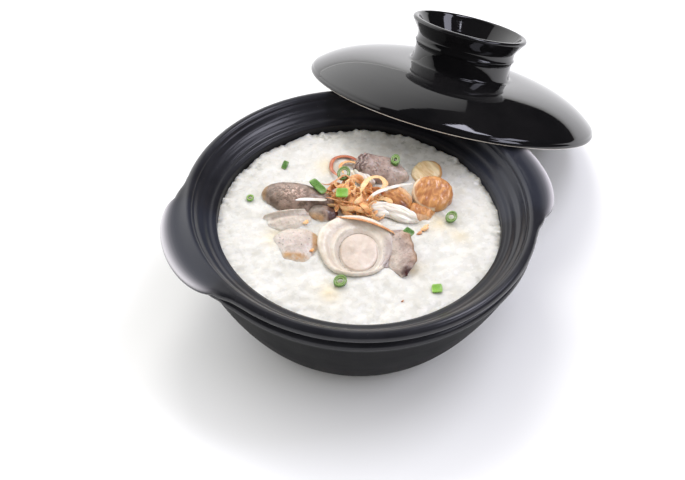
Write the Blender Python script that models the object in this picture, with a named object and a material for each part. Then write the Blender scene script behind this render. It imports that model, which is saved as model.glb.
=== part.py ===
"""Clay-pot congee: a lidded stoneware pot filled with rice congee and its toppings, with the lid
set down behind it, leaning on the rim. Metres, +Z up. The origin is the centre of the pot's flat
base, on the table; the pot's two lugs point along +X and -X. Run with Blender 4.5."""

from math import atan2, cos, degrees, pi, radians, sin

import bpy
from mathutils import Matrix, Vector

# ---------------------------------------------------------------- driving dimensions (metres)
GAP = 0.0003  # clearance between pieces that touch
CUTTER_SWELL = 0.0004  # cutters are swollen by this, a little over GAP because they are faceted
CONGEE_GAP = 0.00045  # the congee's clearance from the pot, for the same reason

RIM_RADIUS = 0.095  # outermost radius of the pot's lip
POT_HEIGHT = 0.0702  # table to the crest of the lip
BASE_RADIUS = 0.0595  # flat foot
FLOOR_THICKNESS = 0.009
LEDGE_RADIUS = 0.0765  # inner edge of the gallery that the lid sits in
LEDGE_HEIGHT = 0.059
WALL_SET_BACK = 0.0010  # the inner wall below the ledge stands this far behind it
LIP_RADIUS = 0.0031  # roundness of the lip
BEAD_RADIUS = 0.0028  # roundness of the bead below it
BEAD_HEIGHT = 0.0620
GALLERY_TOP_RADIUS = 0.0886
GALLERY_RIDGES = 3  # throwing rings in the gallery
RIDGE_HEIGHT = 0.00025

LUG_REACH = 0.0120  # how far the two lugs stand out beyond the lip
LUG_HALF_SPAN = 22.0  # degrees round the rim
LUG_FULLNESS = 2.2  # 2 is an ellipse, more is squarer
LUG_DROP = 0.0024  # the lug's edge lies this much lower than the lip

CONGEE_LEVEL = 0.0550
CONGEE_CROWN = 0.0008  # the middle stands this much above the edge

LID_RADIUS = 0.0858
LID_WALL = 0.0042
LID_DOME_RISE = 0.0200  # rim plane to the foot of the knob
KNOB_FOOT_RADIUS = 0.0303
KNOB_WAIST_RADIUS = 0.0292
KNOB_RIM_RADIUS = 0.0342
KNOB_RIM_HEIGHT = 0.0456  # above the lid's rim plane
KNOB_WALL = 0.0045
KNOB_CUP_DEPTH = 0.0150
LID_BEARING = 46.0  # degrees, the way the lid lies from the pot
LID_DISTANCE = 0.1332  # pot's axis to the centre of the lid's rim plane
LID_TILT = 28.5  # degrees, its far edge is down on the table
LID_EDGE_ROUND = 0.0010

EYE_BEARING = -110.5  # the side to which the toppings show their faces
POT_STEP = 8.0  # degrees between the pot's sections
LUG_STEP = 4.4  # and across a lug
CONGEE_STEP = 8.0
LID_SECTIONS = 44


# ---------------------------------------------------------------- helpers
def clear_scene():
    for obj in list(bpy.data.objects):
        bpy.data.objects.remove(obj, do_unlink=True)


def finish(name, colour, roughness, metallic=0.0):
    """A material with the sub-part's colour, roughness and metallic value."""
    material = bpy.data.materials.new(name)
    material.use_nodes = True
    shader = material.node_tree.nodes["Principled BSDF"]
    shader.inputs["Base Color"].default_value = (*colour, 1.0)
    shader.inputs["Roughness"].default_value = roughness
    shader.inputs["Metallic"].default_value = metallic
    material.diffuse_color = (*colour, 1.0)
    return material


def arc(centre, radius, start, end, steps):
    """Points of an arc in the (radius, height) plane, angles in degrees."""
    angles = [radians(start + (end - start) * i / steps) for i in range(steps + 1)]
    return [(centre[0] + radius * cos(a), centre[1] + radius * sin(a)) for a in angles]


def bend(start, corner, end, steps, skip_first=False):
    """Points of a curve from start to end, drawn towards corner."""
    points = []
    for i in range(1 if skip_first else 0, steps + 1):
        t = i / steps
        weights = ((1 - t) ** 2, 2 * t * (1 - t), t * t)
        points.append(tuple(
            weights[0] * a + weights[1] * b + weights[2] * c for a, b, c in zip(start, corner, end)
        ))
    return points


def smooth(mesh, edge_angle=40):
    mesh.shade_smooth()
    mesh.set_sharp_from_angle(angle=radians(edge_angle))


def skin(name, rings, bottom, top, material):
    """A closed object from rings of points, lowest first, each counter-clockwise from above, with a
    point to close each end."""
    count = len(rings[0])
    points = [Vector(bottom)] + [Vector(p) for ring in rings for p in ring] + [Vector(top)]
    last = len(points) - 1
    faces = [(0, 1 + (i + 1) % count, 1 + i) for i in range(count)]
    for level in range(len(rings) - 1):
        low, high = 1 + level * count, 1 + (level + 1) * count
        for i in range(count):
            j = (i + 1) % count
            faces.append((low + i, low + j, high + j, high + i))
    end = 1 + (len(rings) - 1) * count
    faces += [(end + i, end + (i + 1) % count, last) for i in range(count)]
    mesh = bpy.data.meshes.new(name)
    mesh.from_pydata(points, [], faces)
    mesh.update()
    smooth(mesh)
    mesh.materials.append(material)
    obj = bpy.data.objects.new(name, mesh)
    bpy.context.scene.collection.objects.link(obj)
    return obj


def turned(name, profile, angles, material, reach=lambda angle: 0.0):
    """A turned piece. The profile runs from the bottom on the axis, round the outside, to the top
    on the axis, in points (radius, height) or (radius, height, share of the lug's reach)."""
    rings = []
    for point in profile[1:-1]:
        share = point[2] if len(point) > 2 else 0.0
        rings.append([
            (
                (point[0] + share * reach(a)) * cos(a),
                (point[0] + share * reach(a)) * sin(a),
                point[1] - LUG_DROP * share * reach(a) / LUG_REACH,
            )
            for a in angles
        ])
    return skin(name, rings, (0, 0, profile[0][1]), (0, 0, profile[-1][1]), material)


def lean(bearing, angle):
    """A turn that tips +Z by angle towards the bearing, both in degrees."""
    axis = Vector((-sin(radians(bearing)), cos(radians(bearing)), 0))
    return Matrix.Rotation(radians(angle), 4, axis)


def place(obj, spot, turn=0.0, tip=0.0, towards=EYE_BEARING):
    """Puts obj at spot, turned about Z, then tipped towards a bearing."""
    obj.matrix_world = (
        Matrix.Translation(Vector(spot)) @ lean(towards, tip) @ Matrix.Rotation(radians(turn), 4, "Z")
    )
    return obj


def near(one, other):
    """Whether two pieces lie close enough to touch, seen from above."""
    apart = one.matrix_world.translation.xy - other.matrix_world.translation.xy
    return apart.length < (max(one.dimensions.xy) + max(other.dimensions.xy)) / 2


def cut(obj, others):
    """Cuts obj back to leave a gap round each of the others, where they lie in it."""
    bpy.context.view_layer.update()
    for other in others:
        mesh = other.data.copy()
        normals = [vertex.normal.copy() for vertex in mesh.vertices]
        for vertex, normal in zip(mesh.vertices, normals):
            vertex.co += normal * CUTTER_SWELL
        cutter = bpy.data.objects.new("clear_" + obj.name + "_" + other.name, mesh)
        cutter.matrix_world = other.matrix_world.copy()
        cutter.hide_render = True
        cutter.display_type = "WIRE"
        bpy.context.scene.collection.objects.link(cutter)
        boolean = obj.modifiers.new("clear_" + other.name, "BOOLEAN")
        boolean.operation = "DIFFERENCE"
        boolean.object = cutter


# ---------------------------------------------------------------- the pot
def lug_reach(angle):
    """How far the lip is drawn out into a lug at this angle round the rim."""
    from_axis = abs(degrees(atan2(sin(angle), cos(angle))))
    from_lug = min(from_axis, 180 - from_axis) / LUG_HALF_SPAN
    if from_lug >= 1:
        return 0.0
    return LUG_REACH * (1 - from_lug**LUG_FULLNESS) ** (1 / LUG_FULLNESS)


def pot_angles():
    """Angles of the pot's sections, closer together across the two lugs."""
    lug = [-LUG_HALF_SPAN + LUG_STEP * i for i in range(round(2 * LUG_HALF_SPAN / LUG_STEP) + 1)]
    plain_span = 180 - 2 * LUG_HALF_SPAN
    plain_count = round(plain_span / POT_STEP)
    plain = [LUG_HALF_SPAN + plain_span * i / plain_count for i in range(1, plain_count)]
    half = lug + plain
    return [radians(a) for a in half + [a + 180 for a in half]]


def gallery():
    """The flared gallery between the lip and the ledge, with its throwing rings."""
    steps = GALLERY_RIDGES * 2
    inner = (LEDGE_RADIUS + 0.0012, LEDGE_HEIGHT + 0.0006)
    outer = (GALLERY_TOP_RADIUS - 0.0006, POT_HEIGHT - 0.0030)
    points = []
    for i in range(steps + 1):
        t = i / steps
        lift = RIDGE_HEIGHT * (1 if i % 2 else -1)
        points.append((
            outer[0] + (inner[0] - outer[0]) * t,
            outer[1] + (inner[1] - outer[1]) * t - 0.0010 * sin(pi * t) + lift,
        ))
    return points


def inner_wall():
    """The wall from the ledge down to the floor, most of it under the congee."""
    return [
        (LEDGE_RADIUS, LEDGE_HEIGHT),
        (LEDGE_RADIUS - 0.0006, LEDGE_HEIGHT - 0.0012),
        *bend((LEDGE_RADIUS - WALL_SET_BACK, 0.050), (0.0760, FLOOR_THICKNESS), (0.040, FLOOR_THICKNESS), 4),
    ]


def pot_profile():
    lip = (RIM_RADIUS - LIP_RADIUS, POT_HEIGHT - LIP_RADIUS)
    bead = (RIM_RADIUS - 0.0034 - BEAD_RADIUS, BEAD_HEIGHT)
    foot = [(0, 0), (BASE_RADIUS, 0), (BASE_RADIUS + 0.0015, 0.0010)]
    body = bend((BASE_RADIUS + 0.0015, 0.0010), (0.0781, 0.0186), (0.0905, BEAD_HEIGHT - 0.0026), 6, True)
    beading = [(r, z, share) for (r, z), share in zip(arc(bead, BEAD_RADIUS, -20, 60, 2), (0.25, 0.40, 0.62))]
    shares = (0.90, 1.0, 1.0, 0.85, 0.45, 0.0)
    lipping = [(r, z, share) for (r, z), share in zip(arc(lip, LIP_RADIUS, -60, 90, 5), shares)]
    inside_lip = arc(lip, LIP_RADIUS, 120, 150, 1)
    step = [(GALLERY_TOP_RADIUS, POT_HEIGHT - 0.0019)]
    return [
        *foot, *body, *beading, *lipping, *inside_lip, *step,
        *gallery(), *inner_wall(), (0, FLOOR_THICKNESS),
    ]


def make_pot():
    clay = finish("black_stoneware", (0.022, 0.022, 0.024), 0.38)
    return turned("pot", pot_profile(), pot_angles(), clay, lug_reach)


# ---------------------------------------------------------------- the lid
def lid_profile():
    """The lid on its own axis, rim plane at height 0."""
    knob_foot = (KNOB_FOOT_RADIUS + 0.0006, LID_DOME_RISE)
    under = [
        (0, LID_DOME_RISE - 0.0005),
        *bend((0.030, LID_DOME_RISE - LID_WALL), (0.066, LID_DOME_RISE - LID_WALL - 0.0005),
              (LID_RADIUS - LID_WALL, 0.0014), 4),
    ]
    edge = [
        (LID_RADIUS - LID_WALL + 0.0012, 0.0),
        (LID_RADIUS - LID_EDGE_ROUND, 0.0),
        (LID_RADIUS, LID_EDGE_ROUND),
        (LID_RADIUS - 0.0004, 0.0030),
    ]
    dome = bend((LID_RADIUS - 0.0022, 0.0046), (0.066, LID_DOME_RISE - 0.0005), knob_foot, 6)
    band = [
        (KNOB_FOOT_RADIUS, LID_DOME_RISE + 0.0012),
        (KNOB_WAIST_RADIUS - 0.0002, KNOB_RIM_HEIGHT - 0.0150),
        (KNOB_WAIST_RADIUS + 0.0008, KNOB_RIM_HEIGHT - 0.0138),
        (KNOB_WAIST_RADIUS, KNOB_RIM_HEIGHT - 0.0124),
        (KNOB_WAIST_RADIUS + 0.0006, KNOB_RIM_HEIGHT - 0.0085),
        (KNOB_RIM_RADIUS - 0.0012, KNOB_RIM_HEIGHT - 0.0036),
        (KNOB_RIM_RADIUS, KNOB_RIM_HEIGHT - 0.0016),
        (KNOB_RIM_RADIUS - 0.0012, KNOB_RIM_HEIGHT),
    ]
    cup_floor = KNOB_RIM_HEIGHT - KNOB_CUP_DEPTH
    cup = [
        (KNOB_RIM_RADIUS - 0.0030, KNOB_RIM_HEIGHT - 0.0002),
        (KNOB_RIM_RADIUS - KNOB_WALL, KNOB_RIM_HEIGHT - 0.0026),
        (KNOB_WAIST_RADIUS - KNOB_WALL, KNOB_RIM_HEIGHT - 0.0100),
        (KNOB_WAIST_RADIUS - KNOB_WALL - 0.0030, cup_floor + 0.0008),
        (0, cup_floor),
    ]
    return under, edge + dome + band + cup


def make_lid():
    glaze = finish("black_glaze", (0.008, 0.008, 0.009), 0.08)
    under, over = lid_profile()
    angles = [2 * pi * i / LID_SECTIONS for i in range(LID_SECTIONS)]
    lid = turned("lid", under + over, angles, glaze)
    height = (LID_RADIUS - LID_EDGE_ROUND) * sin(radians(LID_TILT))
    bearing = radians(LID_BEARING)
    spot = (LID_DISTANCE * cos(bearing), LID_DISTANCE * sin(bearing), height)
    return place(lid, spot, tip=LID_TILT, towards=LID_BEARING)


# ---------------------------------------------------------------- the toppings
def wavy(angle, waves):
    """1 plus the sum of some (times round, share, phase in degrees) waves."""
    return 1 + sum(share * sin(times * angle + radians(phase)) for times, share, phase in waves)


def lump(name, size, material, waves=(), flat=2.0, sections=16, levels=6, crown=2.0, lean_over=0.0):
    """A closed rounded piece of food, size (long X, wide Y, high Z), centred on its own origin.
    flat and crown say how square it is from above and from the side."""
    rings = []
    for level in range(1, levels):
        across = -cos(pi * level / levels)
        height = (abs(across) ** 0.9) * (1 if across > 0 else -1)
        share = (1 - abs(height) ** crown) ** (1 / crown)
        ring = []
        for i in range(sections):
            a = 2 * pi * i / sections
            square = (abs(cos(a)) ** flat + abs(sin(a)) ** flat) ** (-1 / flat)
            r = square * share * wavy(a, waves)
            ring.append((
                size[0] / 2 * r * cos(a) + lean_over * height,
                size[1] / 2 * r * sin(a),
                size[2] / 2 * height,
            ))
        rings.append(ring)
    return skin(name, rings, (-lean_over, 0, -size[2] / 2), (lean_over, 0, size[2] / 2), material)


def make_abalone_slice():
    """The large slice at the front: a raised cream ring, a groove, a round boss in the middle, and
    the mantle's frill standing out on one side."""
    flesh = finish("abalone_cream", (0.66, 0.56, 0.45), 0.40)
    ring_out, ring_in, groove, boss = 0.0200, 0.0160, 0.0126, 0.0112
    frill_reach, frill_bearing, frill_half = 0.0130, -18.0, 40.0
    boss_shift = (0.0021, -0.0039)
    sections = 28

    def outline(a):
        off = abs(degrees(atan2(sin(a - radians(frill_bearing)), cos(a - radians(frill_bearing)))))
        frill = frill_reach * cos(pi / 2 * off / frill_half) ** 0.7 if off < frill_half else 0.0
        return (ring_out + 0.0008) * wavy(a, ((3, 0.03, 40), (5, 0.02, 0))) + frill

    def ring(radius, height, shift=0.0):
        """A ring, shifted forward and to the right by a share of the boss's own shift."""
        points = []
        for i in range(sections):
            a = 2 * pi * i / sections
            r = radius(a) if callable(radius) else radius
            points.append((
                r * cos(a) + shift * boss_shift[0],
                r * sin(a) + shift * boss_shift[1],
                height + 0.0004 * sin(3 * a),
            ))
        return points

    rings = [
        ring(lambda a: outline(a) * 0.93, -0.0045),
        ring(outline, -0.0018),
        ring(lambda a: outline(a) - 0.0006, 0.0012),
        ring(ring_out, 0.0034),
        ring((ring_in + ring_out) / 2, 0.0044, 0.3),
        ring(ring_in, 0.0036, 0.7),
        ring(groove, 0.0008, 1.0),
        ring(boss, 0.0014, 1.0),
        ring(boss - 0.0008, 0.0030, 1.0),
        ring(boss * 0.55, 0.0040, 1.0),
    ]
    slice_ = skin("abalone_slice", rings, (0, 0, -0.0050), (*boss_shift, 0.0043), flesh)
    return place(slice_, (-0.0090, -0.0190, 0.0566), turn=EYE_BEARING + 90, tip=8.0)


def make_abalones():
    """The other pieces of abalone: a dark speckled one, one behind the heap and two half sunk."""
    dark = lump("abalone_dark", (0.0370, 0.0210, 0.0170),
                finish("abalone_brown", (0.20, 0.155, 0.135), 0.35),
                waves=((2, 0.05, 90), (3, 0.05, 20)), flat=2.3, crown=2.2, lean_over=0.0015)
    place(dark, (-0.0268, 0.0250, 0.0562), turn=-31.0, tip=12.0)
    back = lump("abalone_back", (0.0310, 0.0185, 0.0160),
                finish("abalone_mauve", (0.33, 0.26, 0.23), 0.38),
                waves=((2, 0.04, 0), (5, 0.05, 60)), flat=2.2, crown=2.2)
    place(back, (0.0240, 0.0325, 0.0562), turn=-38.0, tip=15.0)
    sunk = lump("abalone_sunk", (0.0240, 0.0260, 0.0122),
                finish("abalone_tan", (0.58, 0.42, 0.27), 0.35),
                waves=((3, 0.05, 10),), flat=2.8, crown=2.6)
    place(sunk, (-0.0378, -0.0085, 0.0524), turn=-18.0, tip=8.0)
    pale = lump("abalone_pale", (0.0240, 0.0140, 0.0104),
                finish("abalone_pale", (0.70, 0.65, 0.56), 0.35), waves=((3, 0.06, 40),), flat=2.4)
    place(pale, (-0.0378, 0.0125, 0.0533), turn=-8.0, tip=6.0)
    return [dark, back, sunk, pale]


def make_scallops():
    """Dried scallops: short round plugs with a fibrous face, and two torn pieces."""
    amber = finish("scallop_amber", (0.50, 0.27, 0.11), 0.35)
    pale = finish("scallop_pale", (0.66, 0.50, 0.30), 0.35)
    right = lump("scallop_right", (0.0225, 0.0215, 0.0125), amber, waves=((3, 0.03, 0),), crown=4.0)
    place(right, (0.0436, 0.0050, 0.0584), tip=18.0)
    rear = lump("scallop_rear", (0.0180, 0.0170, 0.0120), pale, waves=((2, 0.03, 50),), crown=4.0)
    place(rear, (0.0480, 0.0245, 0.0550), tip=10.0)
    torn = lump("scallop_torn", (0.0140, 0.0170, 0.0120), amber, waves=((3, 0.08, 80),), flat=2.6)
    place(torn, (0.0250, 0.0075, 0.0578), turn=25.0, tip=20.0)
    under = lump("scallop_under", (0.0150, 0.0130, 0.0100), amber, waves=((3, 0.06, 10),), flat=2.4)
    place(under, (0.0340, -0.0035, 0.0552), turn=-30.0, tip=12.0)
    return [right, rear, torn, under]


def make_white_meat():
    """Two pieces of pale shredded meat."""
    white = finish("meat_white", (0.72, 0.68, 0.61), 0.45)
    front = lump("meat_front", (0.0240, 0.0090, 0.0085), white, waves=((2, 0.06, 20),), flat=2.6)
    place(front, (0.0205, -0.0015, 0.0578), turn=-43.0, tip=8.0)
    rear = lump("meat_rear", (0.0170, 0.0080, 0.0080), white, waves=((3, 0.06, 0),), flat=2.6)
    place(rear, (0.0122, 0.0300, 0.0578), turn=-70.0, tip=6.0)
    return [front, rear]


def make_shallots():
    """The heap of fried shallots, out to its uneven outline."""
    golden = finish("shallot_gold", (0.62, 0.27, 0.07), 0.45)
    heap = lump("shallots", (0.0350, 0.0270, 0.0160), golden,
                waves=((2, 0.08, 30), (3, 0.08, 75), (7, 0.06, 0)), flat=2.0, sections=24)
    return place(heap, (0.0035, 0.0120, 0.0590), turn=-50.0, tip=4.0)


# ---------------------------------------------------------------- the congee
def make_congee():
    """Congee fills the pot up to its level and is cut round everything that sits in it."""
    rice = finish("rice_congee", (0.74, 0.71, 0.65), 0.30)
    wall = [point for point in inner_wall() if point[1] < CONGEE_LEVEL - 0.004]
    base_radius = wall[-1][0]
    body = [(r - CONGEE_GAP, z + CONGEE_GAP) for r, z in reversed(wall)]
    top_radius = LEDGE_RADIUS - WALL_SET_BACK - CONGEE_GAP
    surface = [
        (top_radius, CONGEE_LEVEL - 0.0006),
        (top_radius - 0.0012, CONGEE_LEVEL),
        (base_radius, CONGEE_LEVEL + CONGEE_CROWN * 0.6),
        (base_radius * 0.5, CONGEE_LEVEL + CONGEE_CROWN),
    ]
    profile = [(0, FLOOR_THICKNESS + CONGEE_GAP), *body, *surface, (0, CONGEE_LEVEL + CONGEE_CROWN)]
    angles = [radians(CONGEE_STEP * i) for i in range(round(360 / CONGEE_STEP))]
    return turned("congee", profile, angles, rice)


def main():
    clear_scene()
    make_pot()
    make_lid()
    abalone_slice = make_abalone_slice()
    abalones = make_abalones()
    scallops = make_scallops()
    meat = make_white_meat()
    shallots = make_shallots()
    congee = make_congee()
    in_congee = [abalone_slice, *abalones, *scallops, *meat]
    for index, piece in enumerate(in_congee):
        cut(piece, [other for other in in_congee[:index] if near(piece, other)])
    cut(shallots, [other for other in in_congee if near(shallots, other)])
    cut(congee, [*in_congee, shallots])


main()
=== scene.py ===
# %% [markdown]
# # Congee in a clay pot
# We dress a finished CAD model of a clay pot of rice congee. The CAD fixes where everything is; this
# lesson makes what the eye judges: turned stoneware, poured glaze, soft rice and the food on top.
# Everything is in metres, in the CAD's own frame, with +Z up and the pot's base at the origin.

# %% Load the frame
from math import cos, exp, hypot, pi, radians, sin

import bpy
import numpy as np
from mathutils import Matrix, Vector, noise


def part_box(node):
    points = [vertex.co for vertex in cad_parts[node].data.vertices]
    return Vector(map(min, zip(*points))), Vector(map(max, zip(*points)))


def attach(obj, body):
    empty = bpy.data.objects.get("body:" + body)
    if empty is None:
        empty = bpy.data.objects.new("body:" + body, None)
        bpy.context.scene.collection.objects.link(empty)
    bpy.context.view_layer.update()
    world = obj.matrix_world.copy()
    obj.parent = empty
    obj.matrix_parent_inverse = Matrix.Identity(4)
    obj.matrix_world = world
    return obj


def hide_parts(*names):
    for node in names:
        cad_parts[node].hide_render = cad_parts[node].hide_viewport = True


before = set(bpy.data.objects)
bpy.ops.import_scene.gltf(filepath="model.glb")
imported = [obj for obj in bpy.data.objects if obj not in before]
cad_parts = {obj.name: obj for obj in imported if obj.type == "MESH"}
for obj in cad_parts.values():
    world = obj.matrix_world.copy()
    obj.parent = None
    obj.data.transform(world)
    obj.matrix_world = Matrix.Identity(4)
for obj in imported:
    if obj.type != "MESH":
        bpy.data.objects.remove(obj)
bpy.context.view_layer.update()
MM = 0.001
pot_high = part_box("pot")[1]
RIM_RADIUS = pot_high.y
POT_HEIGHT = pot_high.z
print("pot", round(RIM_RADIUS, 4), "m radius,", round(POT_HEIGHT, 4), "m tall")

# %% [markdown]
# ## Camera
# The pot is seen from above at forty-five degrees, from a little less than a metre. A long lens keeps
# the rim's ellipse close to what the eye sees. The camera also leans by two degrees, as a hand-held
# one does. We build its axes as vectors, because that is exact and easy to read.

# %% Camera
EYE_BEARING = -20.5  # degrees: the camera looks along +Y turned by this much
EYE_DOWN = 45.08
EYE_LEAN = 2.14
EYE_DISTANCE = 0.8933
EYE_LENS = 85.1  # millimetres, on the sensor below
SENSOR = 36
EYE_TARGET = Vector((-0.0086, 0.0118, 0.030))  # in the camera's bearing


def eye_turn():
    """Columns are the camera's right, up and backward axes."""
    forward = Vector((0, cos(radians(EYE_DOWN)), -sin(radians(EYE_DOWN))))
    right = Vector((1, 0, 0))
    up = right.cross(forward)
    lean = radians(EYE_LEAN)
    leaned = (right * cos(lean) + up * sin(lean), up * cos(lean) - right * sin(lean), -forward)
    axes = Matrix(leaned).transposed()
    return Matrix.Rotation(radians(EYE_BEARING), 3, "Z") @ axes


def make_camera():
    data = bpy.data.cameras.new("eye")
    data.lens = EYE_LENS
    data.sensor_width = SENSOR
    data.clip_start = 0.05
    camera = bpy.data.objects.new("eye", data)
    bpy.context.scene.collection.objects.link(camera)
    turn = eye_turn()
    target = Matrix.Rotation(radians(EYE_BEARING), 3, "Z") @ EYE_TARGET
    camera.matrix_world = Matrix.Translation(target + turn.col[2] * EYE_DISTANCE) @ turn.to_4x4()
    bpy.context.scene.camera = camera
    return camera


camera = make_camera()
print("camera at", [round(v, 3) for v in camera.location])

# %% [markdown]
# ## Studio
# Black glaze shows nothing but what it reflects, so the lights are the finish. An even pale room
# lights the food but is kept out of reflections, as if the glaze faced a dark studio. What the glaze
# does see is the pale table, which turns the lid's two ends white, and three soft boxes: a lavender
# one overhead, a cool window to the right, and a wide wall to the left. The wall shines in a narrowed
# beam, so its reflection fades instead of ending at a line. A fourth box only shapes the food.

# %% Studio
FLOOR_SIZE = 14.0
AIM = Vector((0.0, 0.0, 0.04))
WALL_BEAM = 126  # degrees


def soft_box(name, bearing, up, distance, size, power, colour=(1, 1, 1)):
    """A box of light at a bearing as the camera sees it (0 is right, 90 is behind the pot) and up
    degrees above the table, facing the pot."""
    turn, rise = radians(bearing + EYE_BEARING), radians(up)
    data = bpy.data.lights.new(name, "AREA")
    data.shape = "RECTANGLE"
    data.size, data.size_y = size
    data.energy = power
    data.color = colour
    light = bpy.data.objects.new(name, data)
    way = Vector((cos(rise) * cos(turn), cos(rise) * sin(turn), sin(rise)))
    light.location = AIM + way * distance
    light.rotation_euler = way.to_track_quat("Z", "Y").to_euler()
    bpy.context.scene.collection.objects.link(light)
    return light


def make_room(level):
    world = bpy.data.worlds.new("room")
    world.use_nodes = True
    world.node_tree.nodes["Background"].inputs["Color"].default_value = (*level, 1)
    world.cycles_visibility.glossy = False
    bpy.context.scene.world = world


def make_floor():
    mesh = bpy.data.meshes.new("floor")
    s = FLOOR_SIZE / 2
    mesh.from_pydata([(-s, -s, 0), (s, -s, 0), (s, s, 0), (-s, s, 0)], [], [(0, 1, 2, 3)])
    floor = bpy.data.objects.new("floor", mesh)
    bpy.context.scene.collection.objects.link(floor)
    paper = bpy.data.materials.new("floor_paper")
    paper.use_nodes = True
    shader = paper.node_tree.nodes["Principled BSDF"]
    shader.inputs["Base Color"].default_value = (0.86, 0.86, 0.86, 1)
    shader.inputs["Roughness"].default_value = 0.9
    shader.inputs["Specular IOR Level"].default_value = 0.2
    mesh.materials.append(paper)
    return floor


make_room((0.80, 0.795, 0.785))
make_floor()
soft_box("overhead", 32, 62, 1.5, (0.72, 0.32), 6.5, (0.86, 0.86, 1.0))
left_wall = soft_box("left_wall", 133, 16, 2.4, (7.1, 4.6), 96.0)
left_wall.data.spread = radians(WALL_BEAM)
soft_box("window", -9, 41, 1.4, (1.15, 0.30), 5.0, (0.84, 0.84, 1.0))
shaping = soft_box("shaping", 100, 55, 1.6, (0.5, 0.5), 7.0, (1.0, 0.98, 0.94))
shaping.visible_glossy = False
bpy.context.scene.view_settings.view_transform = "Standard"

# %% [markdown]
# ## Helpers for node trees
# Materials and geometry trees are both graphs of nodes. Two small helpers keep the rest of the lesson
# short: one adds a node and fills its inputs, the other makes a tree with named inputs.

# %% Node helpers
def add(tree, kind, inputs=None, **settings):
    """A new node. inputs maps a socket's name or number to a value or to another node's output."""
    node = tree.nodes.new(kind)
    for key, value in settings.items():
        setattr(node, key, value)
    for key, value in (inputs or {}).items():
        socket = node.inputs[key]
        if isinstance(value, bpy.types.NodeSocket):
            tree.links.new(value, socket)
        else:
            socket.default_value = value
    return node


def maths(tree, operation, a, b=None):
    """One step of arithmetic on sockets or numbers, as its output socket."""
    inputs = {0: a} if b is None else {0: a, 1: b}
    return add(tree, "ShaderNodeMath", inputs, operation=operation).outputs[0]


def make_tree(name, kind, inputs, outputs):
    """A node group with its inputs as (name, socket type, default) and outputs as (name, type)."""
    tree = bpy.data.node_groups.new(name, kind)
    for label, socket_type, *default in inputs:
        socket = tree.interface.new_socket(name=label, in_out="INPUT", socket_type=socket_type)
        if default:
            socket.default_value = default[0]
    for label, socket_type in outputs:
        tree.interface.new_socket(name=label, in_out="OUTPUT", socket_type=socket_type)
    start = tree.nodes.new("NodeGroupInput")
    end = tree.nodes.new("NodeGroupOutput")
    return tree, start.outputs, end.inputs


def finish_tree(tree, shape, given, result, *steps):
    """Runs shape through the steps, each (kind, inputs), then realizes it and sets its material."""
    last = (
        ("GeometryNodeRealizeInstances", {}),
        ("GeometryNodeSetMaterial", {"Material": given["Material"]}),
    )
    for kind, inputs in (*steps, *last):
        shape = add(tree, kind, {"Geometry": shape, **inputs}).outputs[0]
    tree.links.new(shape, result["Geometry"])
    return tree


print("node helpers ready")

# %% [markdown]
# A finished piece is a plain mesh, so a geometry tree is run once and only its result is kept. Every
# piece then takes the same few calls and prints its size, so that a wrong one shows at once.

# %% Piece helpers
def socket_id(tree, label):
    """The identifier by which a modifier knows the tree's input of this name."""
    return next(
        item.identifier for item in tree.interface.items_tree
        if item.item_type == "SOCKET" and item.in_out == "INPUT" and item.name == label
    )


def bake(obj, tree, **values):
    """Runs a geometry tree on obj and returns the result as a plain mesh object of the same name."""
    name = obj.name
    modifier = obj.modifiers.new("shape", "NODES")
    modifier.node_group = tree
    for label, value in values.items():
        modifier[socket_id(tree, label.replace("_", " "))] = value
    graph = bpy.context.evaluated_depsgraph_get()
    mesh = bpy.data.meshes.new_from_object(obj.evaluated_get(graph), depsgraph=graph)
    obj.modifiers.remove(modifier)
    bpy.data.objects.remove(obj)
    return link_object(name, mesh)


def link_object(name, mesh):
    obj = bpy.data.objects.new(name, mesh)
    mesh.name = name
    bpy.context.scene.collection.objects.link(obj)
    return obj


def triangles(obj):
    obj.data.calc_loop_triangles()
    return len(obj.data.loop_triangles)


def settle(obj, slot, *nodes):
    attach(obj, "root")
    if nodes:
        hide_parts(*nodes)
    low = [min(v.co[i] for v in obj.data.vertices) for i in range(3)]
    high = [max(v.co[i] for v in obj.data.vertices) for i in range(3)]
    size = [round(1000 * (h - l), 1) for h, l in zip(high, low)]
    print(obj.name, triangles(obj), "triangles,", size, "mm")
    return obj


print("piece helpers ready")

# %% [markdown]
# ## A tree for turned pots
# A potter shapes clay by turning one profile about one axis, and then pulls two lugs out of the rim.
# The tree does the same. It lays a grid of points over the profile and the turn, reads each point's
# radius and height from the profile, and lets the lugs draw the rim out where the angle is right. A
# Screw modifier could turn the profile, but it could not pull the lugs. It also stores where each
# point lies round the turn and along the profile, so that glaze patterns can follow the wheel.

# %% Turned form tree
ROW_FACTS = ("lug_out", "lug_drop", "edge", "run")


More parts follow.
